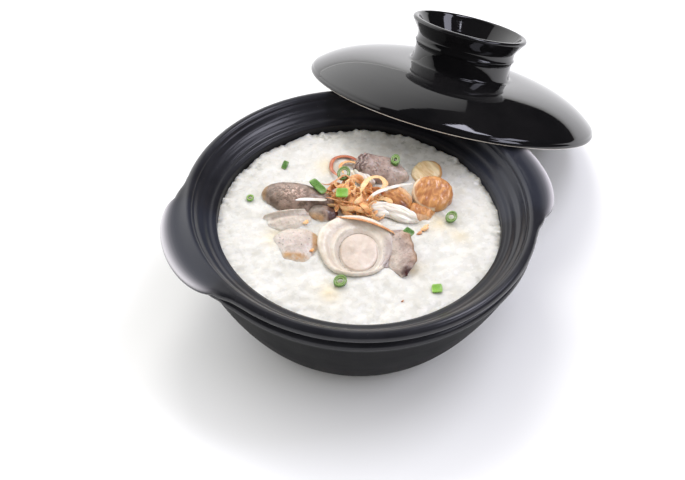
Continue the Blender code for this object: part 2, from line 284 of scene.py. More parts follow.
def turned_tree():
    tree, given, result = make_tree(
        "turned_form", "GeometryNodeTree",
        [("Geometry", "NodeSocketGeometry"), ("Sections", "NodeSocketInt", 240),
         ("Lug Half Span", "NodeSocketFloat", 0.384), ("Lug Fullness", "NodeSocketFloat", 2.2),
         ("Material", "NodeSocketMaterial")],
        [("Geometry", "NodeSocketGeometry")],
    )
    profile = given["Geometry"]
    columns = maths(tree, "ADD", given["Sections"], 1)
    count = add(tree, "GeometryNodeAttributeDomainSize", {"Geometry": profile})
    grid = add(tree, "GeometryNodeMeshGrid", {
        "Vertices X": count.outputs["Point Count"], "Vertices Y": columns,
    })
    index = add(tree, "GeometryNodeInputIndex").outputs[0]
    row = maths(tree, "FLOOR", maths(tree, "DIVIDE", maths(tree, "ADD", index, 0.5), columns))
    column = maths(tree, "SUBTRACT", index, maths(tree, "MULTIPLY", row, columns))

    def from_profile(value, data_type="FLOAT"):
        return add(tree, "GeometryNodeSampleIndex", {
            "Geometry": profile, "Value": value, "Index": row,
        }, data_type=data_type).outputs[0]

    def row_fact(label):
        return from_profile(add(tree, "GeometryNodeInputNamedAttribute", {"Name": label}).outputs[0])

    spot = from_profile(add(tree, "GeometryNodeInputPosition").outputs[0], "FLOAT_VECTOR")
    place = add(tree, "ShaderNodeSeparateXYZ", {0: spot})
    facts = {label: row_fact(label) for label in ROW_FACTS}
    angle = maths(tree, "MULTIPLY", maths(tree, "DIVIDE", column, given["Sections"]), 2 * pi)
    half_turn = maths(tree, "MODULO", angle, pi)
    off_lug = maths(tree, "MINIMUM", half_turn, maths(tree, "SUBTRACT", pi, half_turn))
    ratio = maths(tree, "MINIMUM", maths(tree, "DIVIDE", off_lug, given["Lug Half Span"]), 1.0)
    inside = maths(tree, "SUBTRACT", 1.0, maths(tree, "POWER", ratio, given["Lug Fullness"]))
    lug = maths(tree, "POWER", inside, maths(tree, "DIVIDE", 1.0, given["Lug Fullness"]))
    beyond = add(tree, "ShaderNodeMapRange", {
        "Value": maths(tree, "DIVIDE", off_lug, given["Lug Half Span"]),
        "From Min": 0.90, "From Max": 1.40, "To Min": 0.30, "To Max": 0.0,
    }, interpolation_type="SMOOTHERSTEP").outputs[0]
    pull = add(tree, "ShaderNodeMath", {0: lug, 1: beyond, 2: 0.12}, operation="SMOOTH_MAX").outputs[0]
    pull = maths(tree, "MULTIPLY", pull, maths(tree, "GREATER_THAN", beyond, 0.0))
    radius = maths(tree, "ADD", place.outputs["X"], maths(tree, "MULTIPLY", pull, facts["lug_out"]))
    height = maths(tree, "SUBTRACT", place.outputs["Z"], maths(tree, "MULTIPLY", pull, facts["lug_drop"]))
    across, along = maths(tree, "COSINE", angle), maths(tree, "SINE", angle)
    position = add(tree, "ShaderNodeCombineXYZ", {
        0: maths(tree, "MULTIPLY", radius, across), 1: maths(tree, "MULTIPLY", radius, along), 2: height,
    }).outputs[0]
    wheel = add(tree, "ShaderNodeCombineXYZ", {0: across, 1: along, 2: facts["run"]}).outputs[0]
    shaped = grid.outputs["Mesh"]
    for label, kind, value in (("wheel", "FLOAT_VECTOR", wheel), ("edge", "FLOAT", facts["edge"]),
                               ("pull", "FLOAT", pull)):
        shaped = add(tree, "GeometryNodeStoreNamedAttribute", {
            "Geometry": shaped, "Name": label, "Value": value,
        }, data_type=kind, domain="POINT").outputs[0]
    return finish_tree(
        tree, shaped, given, result, ("GeometryNodeSetPosition", {"Position": position}),
        ("GeometryNodeMergeByDistance", {"Distance": 1e-5}), ("GeometryNodeSetShadeSmooth", {}),
    )


TURNED = turned_tree()
print("turned form tree:", len(TURNED.nodes), "nodes")

# %% [markdown]
# A profile is a line of points, and most of one is arcs and soft bends. Each point also says how far
# the lugs draw it out and down, and how far its rim is lightened: partly glaze that runs thin, partly
# painted highlight.

# %% Profiles
def profile_object(name, points):
    """A line of points (radius, height, lug out, lug drop, edge) from the axis below, round the
    outside, to the axis above."""
    rows = [tuple(p) + (0.0,) * (5 - len(p)) for p in points]
    mesh = bpy.data.meshes.new(name)
    mesh.from_pydata([(p[0], 0, p[1]) for p in rows], [(i, i + 1) for i in range(len(rows) - 1)], [])
    run = [0.0]
    for one, two in zip(rows, rows[1:]):
        run.append(run[-1] + hypot(two[0] - one[0], two[1] - one[1]))
    columns = [[p[2] for p in rows], [p[3] for p in rows], [p[4] for p in rows], run]
    for label, column in zip(ROW_FACTS, columns):
        mesh.attributes.new(label, "FLOAT", "POINT").data.foreach_set("value", column)
    return link_object(name, mesh)


def arc(centre, radius, start, end, steps):
    """Points of an arc in the (radius, height) plane, angles in degrees."""
    turns = [radians(start + (end - start) * i / steps) for i in range(steps + 1)]
    return [(centre[0] + radius * cos(a), centre[1] + radius * sin(a)) for a in turns]


def bend(start, corner, end, steps):
    """Points of a curve after start, up to end, drawn towards corner."""
    points = []
    for i in range(1, steps + 1):
        t = i / steps
        weights = ((1 - t) ** 2, 2 * t * (1 - t), t * t)
        points.append(tuple(
            weights[0] * a + weights[1] * b + weights[2] * c for a, b, c in zip(start, corner, end)
        ))
    return points


def ease(value, low, high):
    """0 below low, 1 above high, smooth between."""
    t = min(max((value - low) / (high - low), 0.0), 1.0)
    return t * t * (3 - 2 * t)


print("profile helpers ready")

# %% [markdown]
# ## Shared shader effects
# Both glazes, and most of the food, vary in the same few ways: blotches of a second colour, fine
# specks, and faint ridges. Each effect is one node group, so every material that uses it stays short.

# %% Shared shader groups
def blotch_group():
    """Soft irregular patches, as a mask from 0 to 1."""
    tree, given, result = make_tree(
        "blotches", "ShaderNodeTree",
        [("Vector", "NodeSocketVector"), ("Scale", "NodeSocketFloat", 100.0),
         ("Detail", "NodeSocketFloat", 4.0), ("Cover", "NodeSocketFloat", 0.5),
         ("Softness", "NodeSocketFloat", 0.1)],
        [("Mask", "NodeSocketFloat")],
    )
    cloud = add(tree, "ShaderNodeTexNoise", {
        "Vector": given["Vector"], "Scale": given["Scale"], "Detail": given["Detail"],
        "Roughness": 0.55,
    })
    threshold = maths(tree, "SUBTRACT", 1.0, given["Cover"])
    mask = add(tree, "ShaderNodeMapRange", {
        "Value": cloud.outputs[0],
        "From Min": maths(tree, "SUBTRACT", threshold, given["Softness"]),
        "From Max": maths(tree, "ADD", threshold, given["Softness"]),
    }, interpolation_type="SMOOTHSTEP")
    tree.links.new(mask.outputs[0], result["Mask"])
    return tree


def speck_group():
    """Small separate dots, as a mask from 0 to 1."""
    tree, given, result = make_tree(
        "specks", "ShaderNodeTree",
        [("Vector", "NodeSocketVector"), ("Scale", "NodeSocketFloat", 800.0),
         ("Size", "NodeSocketFloat", 0.25), ("Share", "NodeSocketFloat", 0.5)],
        [("Mask", "NodeSocketFloat")],
    )
    cells = add(tree, "ShaderNodeTexVoronoi", {"Vector": given["Vector"], "Scale": given["Scale"]})
    dot = add(tree, "ShaderNodeMapRange", {
        "Value": cells.outputs["Distance"], "From Min": given["Size"],
        "From Max": maths(tree, "MULTIPLY", given["Size"], 0.5),
    }, interpolation_type="SMOOTHSTEP")
    chosen = maths(tree, "LESS_THAN", add(tree, "ShaderNodeSeparateColor", {
        0: cells.outputs["Color"],
    }).outputs[0], given["Share"])
    tree.links.new(maths(tree, "MULTIPLY", dot.outputs[0], chosen), result["Mask"])
    return tree


def wheel_group():
    """Faint rings that follow the potter's wheel, as a height from 0 to 1. Stretch says how many
    times a ring fades and comes back on its way round."""
    tree, given, result = make_tree(
        "wheel_rings", "ShaderNodeTree",
        [("Wheel", "NodeSocketVector"), ("Rings", "NodeSocketFloat", 600.0),
         ("Stretch", "NodeSocketFloat", 1.2), ("Detail", "NodeSocketFloat", 3.0)],
        [("Height", "NodeSocketFloat")],
    )
    parts = add(tree, "ShaderNodeSeparateXYZ", {0: given["Wheel"]})
    where = add(tree, "ShaderNodeCombineXYZ", {
        0: maths(tree, "MULTIPLY", parts.outputs[0], given["Stretch"]),
        1: maths(tree, "MULTIPLY", parts.outputs[1], given["Stretch"]),
        2: maths(tree, "MULTIPLY", parts.outputs[2], given["Rings"]),
    })
    ridges = add(tree, "ShaderNodeTexNoise", {
        "Vector": where.outputs[0], "Scale": 1.0, "Detail": given["Detail"],
    })
    tree.links.new(ridges.outputs[0], result["Height"])
    return tree


BLOTCHES, SPECKS, WHEEL_RINGS = blotch_group(), speck_group(), wheel_group()
print("shared effects:", [g.name for g in (BLOTCHES, SPECKS, WHEEL_RINGS)])

# %% [markdown]
# Each material mixes a few colours by masks and stacks a few bumps. A small class holds the material,
# its tree and its shader, so that a finish can be read as a list of those steps.

# %% Finish helper
class Finish:
    """A material on the Principled shader, with short ways to mix colours and add bumps."""

    def __init__(self, name, **constants):
        self.material = bpy.data.materials.new(name)
        self.material.use_nodes = True
        self.tree = self.material.node_tree
        self.shader = self.tree.nodes["Principled BSDF"]
        for label, value in constants.items():
            self.shader.inputs[label.replace("_", " ")].default_value = value

    def attribute(self, name, output="Fac"):
        return add(self.tree, "ShaderNodeAttribute", attribute_name=name).outputs[output]

    def position(self):
        return add(self.tree, "ShaderNodeTexCoord").outputs["Object"]

    def group(self, tree, **inputs):
        inputs = {label.replace("_", " "): value for label, value in inputs.items()}
        node = self.tree.nodes.new("ShaderNodeGroup")
        node.node_tree = tree
        for label, value in inputs.items():
            if isinstance(value, bpy.types.NodeSocket):
                self.tree.links.new(value, node.inputs[label])
            else:
                node.inputs[label].default_value = value
        return node.outputs[0]

    def maths(self, operation, a, b=None):
        return maths(self.tree, operation, a, b)

    def range(self, value, low, high, to_low=0.0, to_high=1.0):
        return add(self.tree, "ShaderNodeMapRange", {
            "Value": value, "From Min": low, "From Max": high, "To Min": to_low, "To Max": to_high,
        }, interpolation_type="SMOOTHSTEP").outputs[0]

    def mix(self, share, one, two):
        """From colour one at share 0 to colour two at share 1."""
        colours = [c if isinstance(c, bpy.types.NodeSocket) else (*c, 1.0) for c in (one, two)]
        node = add(self.tree, "ShaderNodeMix", {0: share, 6: colours[0], 7: colours[1]}, data_type="RGBA")
        return node.outputs[2]

    def milky(self, colour, low=55.4 * MM, high=57.2 * MM, cover=0.85):
        """Congee clings to the foot of whatever stands in it, up to a ragged line."""
        height = add(self.tree, "ShaderNodeSeparateXYZ", {0: self.position()}).outputs[2]
        ragged = add(self.tree, "ShaderNodeTexNoise", {"Vector": self.position(), "Scale": 420.0}).outputs[0]
        level = self.maths("ADD", height, self.maths("MULTIPLY", self.maths("SUBTRACT", ragged, 0.5), 4 * MM))
        return self.mix(self.range(level, low, high, cover, 0.0), colour, (0.66, 0.64, 0.58))

    def bump(self, height, distance, strength=1.0, under=None):
        inputs = {"Height": height, "Distance": distance, "Strength": strength}
        if under is not None:
            inputs["Normal"] = under
        return add(self.tree, "ShaderNodeBump", inputs).outputs[0]

    def set(self, **sockets):
        for label, socket in sockets.items():
            self.tree.links.new(socket, self.shader.inputs[label.replace("_", " ")])
        return self.material


print("finish helper ready")

# %% [markdown]
# ## The pot
# The real pot is dark stoneware under a satin glaze. Satin glaze is smooth clay with a fine egg-shell
# tooth: it spreads a light box into a soft grey band. An edge mask lightens the lugs' rims: partly where
# the glaze runs thin and the pale clay shows through, partly as a painted highlight on the rounded rim.
# The lugs are also painted a lighter blue-grey, as a painted reflection of the pale room, and the belly
# is painted darker as shade. The glaze is duller low on the belly.

# %% Satin glaze
# Below this band the belly is painted darker as shade; above it the glaze also shines more.
SHINE_AND_SHADE_BAND = (54 * MM, 62 * MM)  # the upper pot shines more than the lower


def satin_glaze():
    glaze = Finish("satin_glaze", Specular_IOR_Level=0.12, Coat_Roughness=0.19)
    where = glaze.position()
    height = add(glaze.tree, "ShaderNodeSeparateXYZ", {0: where}).outputs[2]
    above_painted_shade = glaze.range(height, *SHINE_AND_SHADE_BAND)
    cloud = glaze.group(BLOTCHES, Vector=where, Scale=38.0, Cover=0.5, Softness=0.25)
    tooth = add(glaze.tree, "ShaderNodeTexNoise", {
        "Vector": where, "Scale": 1500.0, "Detail": 2.0,
    }).outputs[0]
    rings = glaze.group(WHEEL_RINGS, Wheel=glaze.attribute("wheel", "Vector"), Rings=420.0, Stretch=0.7)
    dots = glaze.group(SPECKS, Vector=where, Scale=620.0, Size=0.22, Share=0.16)
    colour = glaze.mix(cloud, (0.0035, 0.0035, 0.0042), (0.0065, 0.0065, 0.008))
    # Painted shade: below the band the belly is painted darker than the upper pot.
    colour = glaze.mix(above_painted_shade, colour, glaze.mix(cloud, (0.012, 0.012, 0.015), (0.021, 0.021, 0.026)))
    # Painted reflection: the lugs are painted a lighter blue-grey, in place of the pale room that the glaze
    # does not reflect.
    drawn = glaze.range(glaze.attribute("pull"), 0.15, 0.9)
    colour = glaze.mix(drawn, colour, (0.024, 0.026, 0.036))
    colour = glaze.mix(glaze.maths("MULTIPLY", dots, 0.5), colour, (0.055, 0.052, 0.055))
    # Painted highlight, partly glaze break: a pale line along the lugs' rounded rims.
    thin = glaze.maths("MULTIPLY", glaze.attribute("edge"), drawn)
    colour = glaze.mix(thin, colour, (0.55, 0.53, 0.56))
    patchy = glaze.range(glaze.maths("ADD", cloud, glaze.maths("MULTIPLY", rings, 0.6)), 0.0, 1.6, 0.26, 0.38)
    roughness = glaze.maths("ADD", patchy, glaze.range(height, *SHINE_AND_SHADE_BAND, 0.26, 0.0))
    bumps = glaze.bump(rings, 0.00014, 0.28)
    bumps = glaze.bump(tooth, 0.00005, 0.35, bumps)
    coat = glaze.range(height, *SHINE_AND_SHADE_BAND, 0.0, 0.5)
    return glaze.set(Base_Color=colour, Roughness=roughness, Coat_Weight=coat, Normal=bumps)


GLAZE = satin_glaze()
print("satin glaze:", len(GLAZE.node_tree.nodes), "nodes")

# %% [markdown]
# The profile of the pot runs from the foot up the belly, over a bead, over the lip, down the flared
# gallery to the ledge where the lid sits, and down the inner wall. Only the rows round the lip are
# drawn out into lugs. A shallow valley is left between the lip and the lug, where a thumb pressed.

# %% Pot
BASE_RADIUS = 59.5 * MM
FLOOR_THICKNESS = 9.0 * MM
LEDGE_RADIUS = 76.5 * MM
LEDGE_HEIGHT = 59.0 * MM
GALLERY_TOP_RADIUS = 88.6 * MM
LIP_ROUND = 3.1 * MM
LUG_REACH = pot_high.x - RIM_RADIUS
LUG_DROP = 2.4 * MM
LUG_VALLEY = 1.5 * MM
POT_SECTIONS = 288


def inner_wall(steps):
    """The wall from the ledge down to the floor."""
    top = (LEDGE_RADIUS - 1.0 * MM, 50 * MM)
    return [
        (LEDGE_RADIUS, LEDGE_HEIGHT), (LEDGE_RADIUS - 0.35 * MM, LEDGE_HEIGHT - 0.4 * MM),
        (LEDGE_RADIUS - 0.6 * MM, LEDGE_HEIGHT - 1.4 * MM),
        (LEDGE_RADIUS - 0.8 * MM, LEDGE_HEIGHT - 5 * MM), top,
        *bend(top, (76.0 * MM, FLOOR_THICKNESS), (40 * MM, FLOOR_THICKNESS), steps),
    ]


def lip_row(point, angle):
    """One row of the lip, with how far and how low the lugs draw it."""
    share = ease(-angle, -86, -18) - 0.10 * ease(-angle, 20, 60)
    valley = exp(-(((angle - 62) / 17) ** 2))
    # The edge share paints the lug's pale rim line: partly glaze break, partly painted highlight.
    edge = exp(-(((angle - 22) / 15) ** 2))
    return (*point, LUG_REACH * share, LUG_DROP * share + LUG_VALLEY * valley, edge)


def gallery_rows():
    """Soft throwing rings on the way down from the lip to the ledge."""
    inner = (LEDGE_RADIUS + 1.2 * MM, LEDGE_HEIGHT + 0.6 * MM)
    outer = (GALLERY_TOP_RADIUS - 0.6 * MM, POT_HEIGHT - 3.0 * MM)
    rows = []
    for i in range(37):
        t = i / 36
        ring = 0.34 * MM * cos(2 * pi * 2.0 * t + 0.4)
        rows.append((
            outer[0] + (inner[0] - outer[0]) * t,
            outer[1] + (inner[1] - outer[1]) * t - 1.0 * MM * sin(pi * t) + ring,
        ))
    return rows


def make_pot():
    bead, groove = (RIM_RADIUS - 4.0 * MM, 59.2 * MM), (RIM_RADIUS - 4.2 * MM, 62.9 * MM)
    lip = (RIM_RADIUS - LIP_ROUND, POT_HEIGHT - LIP_ROUND)
    bead_angles = [-45 + 115 * i / 12 for i in range(13)]
    lip_angles = [-75 + 165 * i / 28 for i in range(29)]
    rows = [
        (0, 0), (BASE_RADIUS * 0.5, 0), (BASE_RADIUS - 0.5 * MM, 0), (BASE_RADIUS, 0.05 * MM),
        (BASE_RADIUS + 0.9 * MM, 0.35 * MM), (BASE_RADIUS + 1.5 * MM, 1.0 * MM),
        *bend((BASE_RADIUS + 1.5 * MM, 1.0 * MM), (78.1 * MM, 18.6 * MM),
              (RIM_RADIUS - 2.6 * MM, 56.6 * MM), 36),
        *[(*arc(bead, 2.7 * MM, a, a, 1)[0], LUG_REACH * share, LUG_DROP * share)
          for a, share in ((a, 0.25 + 0.33 * (a + 45) / 115) for a in bead_angles)],
        (*groove, LUG_REACH * 0.62, LUG_DROP * 0.62),
        *[lip_row(arc(lip, LIP_ROUND, a, a, 1)[0], a) for a in lip_angles],
        *arc(lip, LIP_ROUND, 98, 160, 8), (GALLERY_TOP_RADIUS + 0.1 * MM, POT_HEIGHT - 2.4 * MM),
        *gallery_rows(), (LEDGE_RADIUS + 0.4 * MM, LEDGE_HEIGHT + 0.15 * MM), *inner_wall(16),
        (0, FLOOR_THICKNESS),
    ]
    pot = bake(profile_object("pot_body", rows), TURNED, Sections=POT_SECTIONS, Lug_Half_Span=radians(22),
               Lug_Fullness=2.2, Material=GLAZE)
    return settle(pot, "stoneware", "pot")


make_pot()

# %% [markdown]
# ## The lid
# The lid is turned like the pot and dipped in a brushed black glaze that fired to a mirror. The
# finger rings of the wheel bend its reflections, so they are bumps in the glaze and not colours. The
# sharp bottom edge is painted cream: partly clay where the glaze pulls back, partly a painted highlight.

# %% Mirror glaze
def mirror_glaze():
    glaze = Finish("mirror_glaze", IOR=1.55)
    wheel = glaze.attribute("wheel", "Vector")
    brushed = glaze.group(WHEEL_RINGS, Wheel=wheel, Rings=900.0, Stretch=1.6, Detail=5.0)
    rings = glaze.group(WHEEL_RINGS, Wheel=wheel, Rings=160.0, Stretch=0.5, Detail=1.0)
    cloud = glaze.group(BLOTCHES, Vector=glaze.position(), Scale=30.0, Cover=0.5, Softness=0.3)
    colour = glaze.mix(cloud, (0.004, 0.004, 0.0045), (0.009, 0.0085, 0.009))
    # Painted highlight, partly bare clay: the bottom edge rows are painted cream.
    colour = glaze.mix(glaze.attribute("edge"), colour, (0.86, 0.80, 0.73))
    roughness = glaze.range(brushed, 0.35, 0.75, 0.03, 0.08)
    bumps = glaze.bump(rings, 0.0003, 0.15)
    bumps = glaze.bump(brushed, 0.00004, 0.30, bumps)
    return glaze.set(Base_Color=colour, Roughness=roughness, Normal=bumps)


MIRROR = mirror_glaze()
print("mirror glaze:", len(MIRROR.node_tree.nodes), "nodes")

# %% Lid
LID_RADIUS = 85.8 * MM
LID_WALL = 4.2 * MM
LID_FLOOR_INSET = 1.0 * MM  # the edge is rounded, so it meets the table this far in
LID_RISE = 20.0 * MM
KNOB_RIM_RADIUS = 34.2 * MM
KNOB_WAIST = 29.2 * MM
KNOB_TOP = 45.6 * MM
KNOB_WALL = 4.5 * MM
CUP_DEPTH = 15.0 * MM
LID_BEARING = 46.0
LID_DISTANCE = 133.2 * MM
LID_TILT = 28.5
LID_SECTIONS = 256


def smooth_through(points, steps):
    """Points of a smooth curve through the given ones, steps to each span."""
    line = [points[0], *points, points[-1]]
    out = [points[0]]
    for a, b, c, d in zip(line, line[1:], line[2:], line[3:]):
        for i in range(1, steps + 1):
            t = i / steps
            out.append(tuple(
                0.5 * (2 * q + (r - p) * t + (2 * p - 5 * q + 4 * r - s) * t * t
                       + (3 * q - p - 3 * r + s) * t ** 3)
                for p, q, r, s in zip(a, b, c, d)
            ))
    return out


def lid_rows():
    """The lid upright on its own axis, with the rim plane at height 0."""
    foot = (30.6 * MM, LID_RISE)
    dome_start = (LID_RADIUS - 2.2 * MM, 4.6 * MM)
    inside = bend((30 * MM, LID_RISE - LID_WALL), (66 * MM, LID_RISE - LID_WALL - 0.5 * MM),
                  (LID_RADIUS - LID_WALL, 1.4 * MM), 24)
    # The fifth values paint the bottom edge cream: partly bare clay, partly painted highlight.
    edge = [
        (LID_RADIUS - 3.2 * MM, 0.35 * MM), (LID_RADIUS - 2.6 * MM, 0.05 * MM, 0, 0, 0.8),
        (LID_RADIUS - 1.0 * MM, 0.0, 0, 0, 1.0),
        *[(*p, 0, 0, share) for p, share in zip(
            arc((LID_RADIUS - 0.9 * MM, 0.9 * MM), 0.9 * MM, -70, 10, 8), (1, 1, 1, 1, 0.7, 0.1, 0, 0, 0))],
        (LID_RADIUS, 1.6 * MM), (LID_RADIUS - 0.25 * MM, 2.2 * MM),
        (LID_RADIUS - 0.75 * MM, 2.7 * MM), (LID_RADIUS - 0.85 * MM, 3.1 * MM),
        (LID_RADIUS - 1.0 * MM, 3.6 * MM), dome_start,
    ]
    dome = bend(dome_start, (66 * MM, LID_RISE - 0.5 * MM), foot, 48)
    band = smooth_through([
        foot, (29.6 * MM, LID_RISE + 0.9 * MM), (28.9 * MM, KNOB_TOP - 20 * MM),
        (KNOB_WAIST - 0.1 * MM, KNOB_TOP - 15.6 * MM), (KNOB_WAIST + 0.75 * MM, KNOB_TOP - 13.8 * MM),
        (KNOB_WAIST + 0.1 * MM, KNOB_TOP - 12.2 * MM), (KNOB_WAIST + 0.6 * MM, KNOB_TOP - 8.5 * MM),
        (KNOB_RIM_RADIUS - 1.2 * MM, KNOB_TOP - 3.6 * MM), (KNOB_RIM_RADIUS, KNOB_TOP - 1.6 * MM),
        (KNOB_RIM_RADIUS - 0.25 * MM, KNOB_TOP - 0.5 * MM), (KNOB_RIM_RADIUS - 1.2 * MM, KNOB_TOP),
        (KNOB_RIM_RADIUS - 3.0 * MM, KNOB_TOP - 0.3 * MM), (KNOB_RIM_RADIUS - KNOB_WALL, KNOB_TOP - 2.6 * MM),
        (KNOB_WAIST - KNOB_WALL, KNOB_TOP - 10 * MM),
        (KNOB_WAIST - KNOB_WALL - 3 * MM, KNOB_TOP - CUP_DEPTH + 0.8 * MM),
        (14 * MM, KNOB_TOP - CUP_DEPTH + 0.1 * MM),
    ], 5)[1:]
    axis_below, axis_above = (0, LID_RISE - 0.5 * MM), (0, KNOB_TOP - CUP_DEPTH)
    return [axis_below, (15 * MM, LID_RISE - 2.2 * MM), *inside, *edge, *dome, *band, axis_above]


def lean(bearing, angle):
    """A turn that tips +Z by angle towards the bearing, both in degrees."""
    return Matrix.Rotation(radians(angle), 4, (-sin(radians(bearing)), cos(radians(bearing)), 0))


def make_lid():
    lid = bake(profile_object("lid_body", lid_rows()), TURNED, Sections=LID_SECTIONS, Material=MIRROR)
    way = radians(LID_BEARING)
    height = (LID_RADIUS - LID_FLOOR_INSET) * sin(radians(LID_TILT))
    spot = Vector((LID_DISTANCE * cos(way), LID_DISTANCE * sin(way), height))
    lid.data.transform(Matrix.Translation(spot) @ lean(LID_BEARING, LID_TILT))
    return settle(lid, "black_glaze", "lid")


make_lid()

# %% [markdown]
# ## A tree for soft relief
# Cooked food is never smooth, and its unevenness comes in two sizes: broad swells and small grains.
# One tree moves every point along its normal by both. A piece can store an attribute called calm,
# from 0 to 1, to keep a part of itself smooth.

# %% Relief tree
def relief_tree():
    tree, given, result = make_tree(
        "soft_relief", "GeometryNodeTree",
        [("Geometry", "NodeSocketGeometry"), ("Swell Size", "NodeSocketFloat", 0.012),
         ("Swell Height", "NodeSocketFloat", 0.0005), ("Grain Size", "NodeSocketFloat", 0.003),
         ("Grain Height", "NodeSocketFloat", 0.0002), ("Stretch", "NodeSocketVector", (1.0, 1.0, 1.0)),
         ("Pattern", "NodeSocketString", "local"), ("Material", "NodeSocketMaterial")],
        [("Geometry", "NodeSocketGeometry")],
    )
    local = add(tree, "GeometryNodeInputNamedAttribute", {"Name": given["Pattern"]}, data_type="FLOAT_VECTOR")
    where = add(tree, "ShaderNodeVectorMath", {
        0: local.outputs[0], 1: given["Stretch"],
    }, operation="MULTIPLY")
    calm = add(tree, "GeometryNodeInputNamedAttribute", {"Name": "calm"}, data_type="FLOAT").outputs[0]
    swell = add(tree, "ShaderNodeTexNoise", {
        "Vector": where.outputs[0], "Scale": maths(tree, "DIVIDE", 1.0, given["Swell Size"]), "Detail": 2.0,
    }).outputs[0]
    grain = add(tree, "ShaderNodeTexVoronoi", {
        "Vector": where.outputs[0], "Scale": maths(tree, "DIVIDE", 1.0, given["Grain Size"]),
        "Smoothness": 0.6,
    }, feature="SMOOTH_F1").outputs["Distance"]
    broad = maths(tree, "MULTIPLY", maths(tree, "SUBTRACT", swell, 0.5),
                  maths(tree, "MULTIPLY", given["Swell Height"], 2.0))
    fine = maths(tree, "MULTIPLY", maths(tree, "SUBTRACT", 0.35, grain), given["Grain Height"])
    lift = maths(tree, "MULTIPLY", maths(tree, "ADD", broad, fine), maths(tree, "SUBTRACT", 1.0, calm))
    normal = add(tree, "GeometryNodeInputNormal").outputs[0]
    offset = add(tree, "ShaderNodeVectorMath", {0: normal, "Scale": lift}, operation="SCALE").outputs[0]
    return finish_tree(
        tree, given["Geometry"], given, result, ("GeometryNodeSetPosition", {"Offset": offset}),
        ("GeometryNodeSetShadeSmooth", {}),
    )


RELIEF = relief_tree()


def read_points(mesh):
    """All vertices as an array with one row each."""
    points = np.empty(len(mesh.vertices) * 3)
    mesh.vertices.foreach_get("co", points)
    return points.reshape(-1, 3)


def write_points(mesh, points):
    mesh.vertices.foreach_set("co", points.ravel())


def store(mesh, name, values):
    """Writes one value, or one vector, for each vertex."""
    values = np.asarray(values, float)
    kind = "FLOAT" if values.ndim == 1 else "FLOAT_VECTOR"
    field = "value" if values.ndim == 1 else "vector"
    layer = mesh.attributes.get(name) or mesh.attributes.new(name, kind, "POINT")
    layer.data.foreach_set(field, values.ravel())


def spread(points, centre, radius):
    """1 at centre, falling softly to 0 about a radius away, seen from above."""
    apart = np.hypot(points[:, 0] - centre[0] * MM, points[:, 1] - centre[1] * MM)
    return np.exp(-(apart / (radius * MM)) ** 2)


print("relief tree:", len(RELIEF.nodes), "nodes")

# %% [markdown]
# ## The congee
# Congee is rice boiled until the grains burst and the water turns to cream. Light enters it and comes
# out a little way off, so the shader lets it scatter under the surface. Swells, burst grains and a
# ragged line where it climbs the wall are real relief. A few drops of oil tint it yellow.

# %% Congee finish
def congee_finish():
    rice = Finish("congee", Subsurface_Weight=0.5, Subsurface_Scale=0.003, Coat_Weight=0.12,
                  Coat_Roughness=0.12)
    rice.shader.inputs["Subsurface Radius"].default_value = (1.0, 0.85, 0.65)
    where = rice.position()
    cloud = rice.group(BLOTCHES, Vector=where, Scale=85.0, Cover=0.5, Softness=0.2)
    small = rice.group(BLOTCHES, Vector=where, Scale=230.0, Cover=0.44, Softness=0.18, Detail=2.5)
    far_wall_shade = rice.group(BLOTCHES, Vector=where, Scale=210.0, Cover=0.36, Softness=0.08, Detail=2.0)
    grit = add(rice.tree, "ShaderNodeTexNoise", {"Vector": where, "Scale": 900.0, "Detail": 3.0}).outputs[0]
    colour = rice.mix(cloud, (0.59, 0.575, 0.525), (0.675, 0.66, 0.62))
    colour = rice.mix(rice.maths("MULTIPLY", small, 0.5), colour, (0.745, 0.735, 0.705))
    # Painted shade: grey blotches darken the congee towards the far wall, where the wall and the lid shade
    # it.
    colour = rice.mix(rice.maths("MULTIPLY", far_wall_shade, rice.attribute("thin")), colour, (0.36, 0.355, 0.31))
    oil = rice.maths("MULTIPLY", rice.attribute("oil"), rice.range(cloud, 0.0, 1.0, 0.5, 1.0))
    colour = rice.mix(oil, colour, (0.70, 0.54, 0.25))
    roughness = rice.range(small, 0.0, 1.0, 0.24, 0.42)
    bumps = rice.bump(small, 0.00012, 0.4)
    bumps = rice.bump(grit, 0.00003, 0.3, bumps)
    return rice.set(Base_Color=colour, Roughness=roughness, Normal=bumps)


CONGEE = congee_finish()
print("congee finish:", len(CONGEE.node_tree.nodes), "nodes")
OIL_SPOTS = (((36.0, 8.0), 7.0), ((40.0, -12.0), 8.0), ((16.0, -41.0), 5.0), ((-32.0, -44.0), 6.5),
             ((-2.0, 47.0), 7.0), ((48.0, -26.0), 5.0), ((-45.0, 2.0), 7.0))

# %% Congee
CONGEE_RADIUS = 76.1 * MM
CONGEE_LEVEL = 54.6 * MM
WALL_CLIMB = 2.1 * MM
CONGEE_CROWN = 1.1 * MM
CONGEE_STEPS = 118

TOPPINGS = ("abalone_slice", "abalone_dark", "abalone_back", "abalone_sunk", "abalone_pale", "scallop_right",
            "scallop_rear", "scallop_torn", "scallop_under", "meat_front", "meat_rear", "shallots")


def clinging(points):
    """How far the congee is drawn up round each topping, which sits in its CAD box."""
    lift = np.zeros(len(points))
    for node in TOPPINGS:
        low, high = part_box(node)
        middle, half = (low + high) / 2, (high - low) / 2
        off = np.hypot((points[:, 0] - middle.x) / half.x, (points[:, 1] - middle.y) / half.y)
        lift = np.maximum(lift, np.exp(-(((off - 0.9) / 0.22) ** 2)) * 0.9 * MM)
    return lift


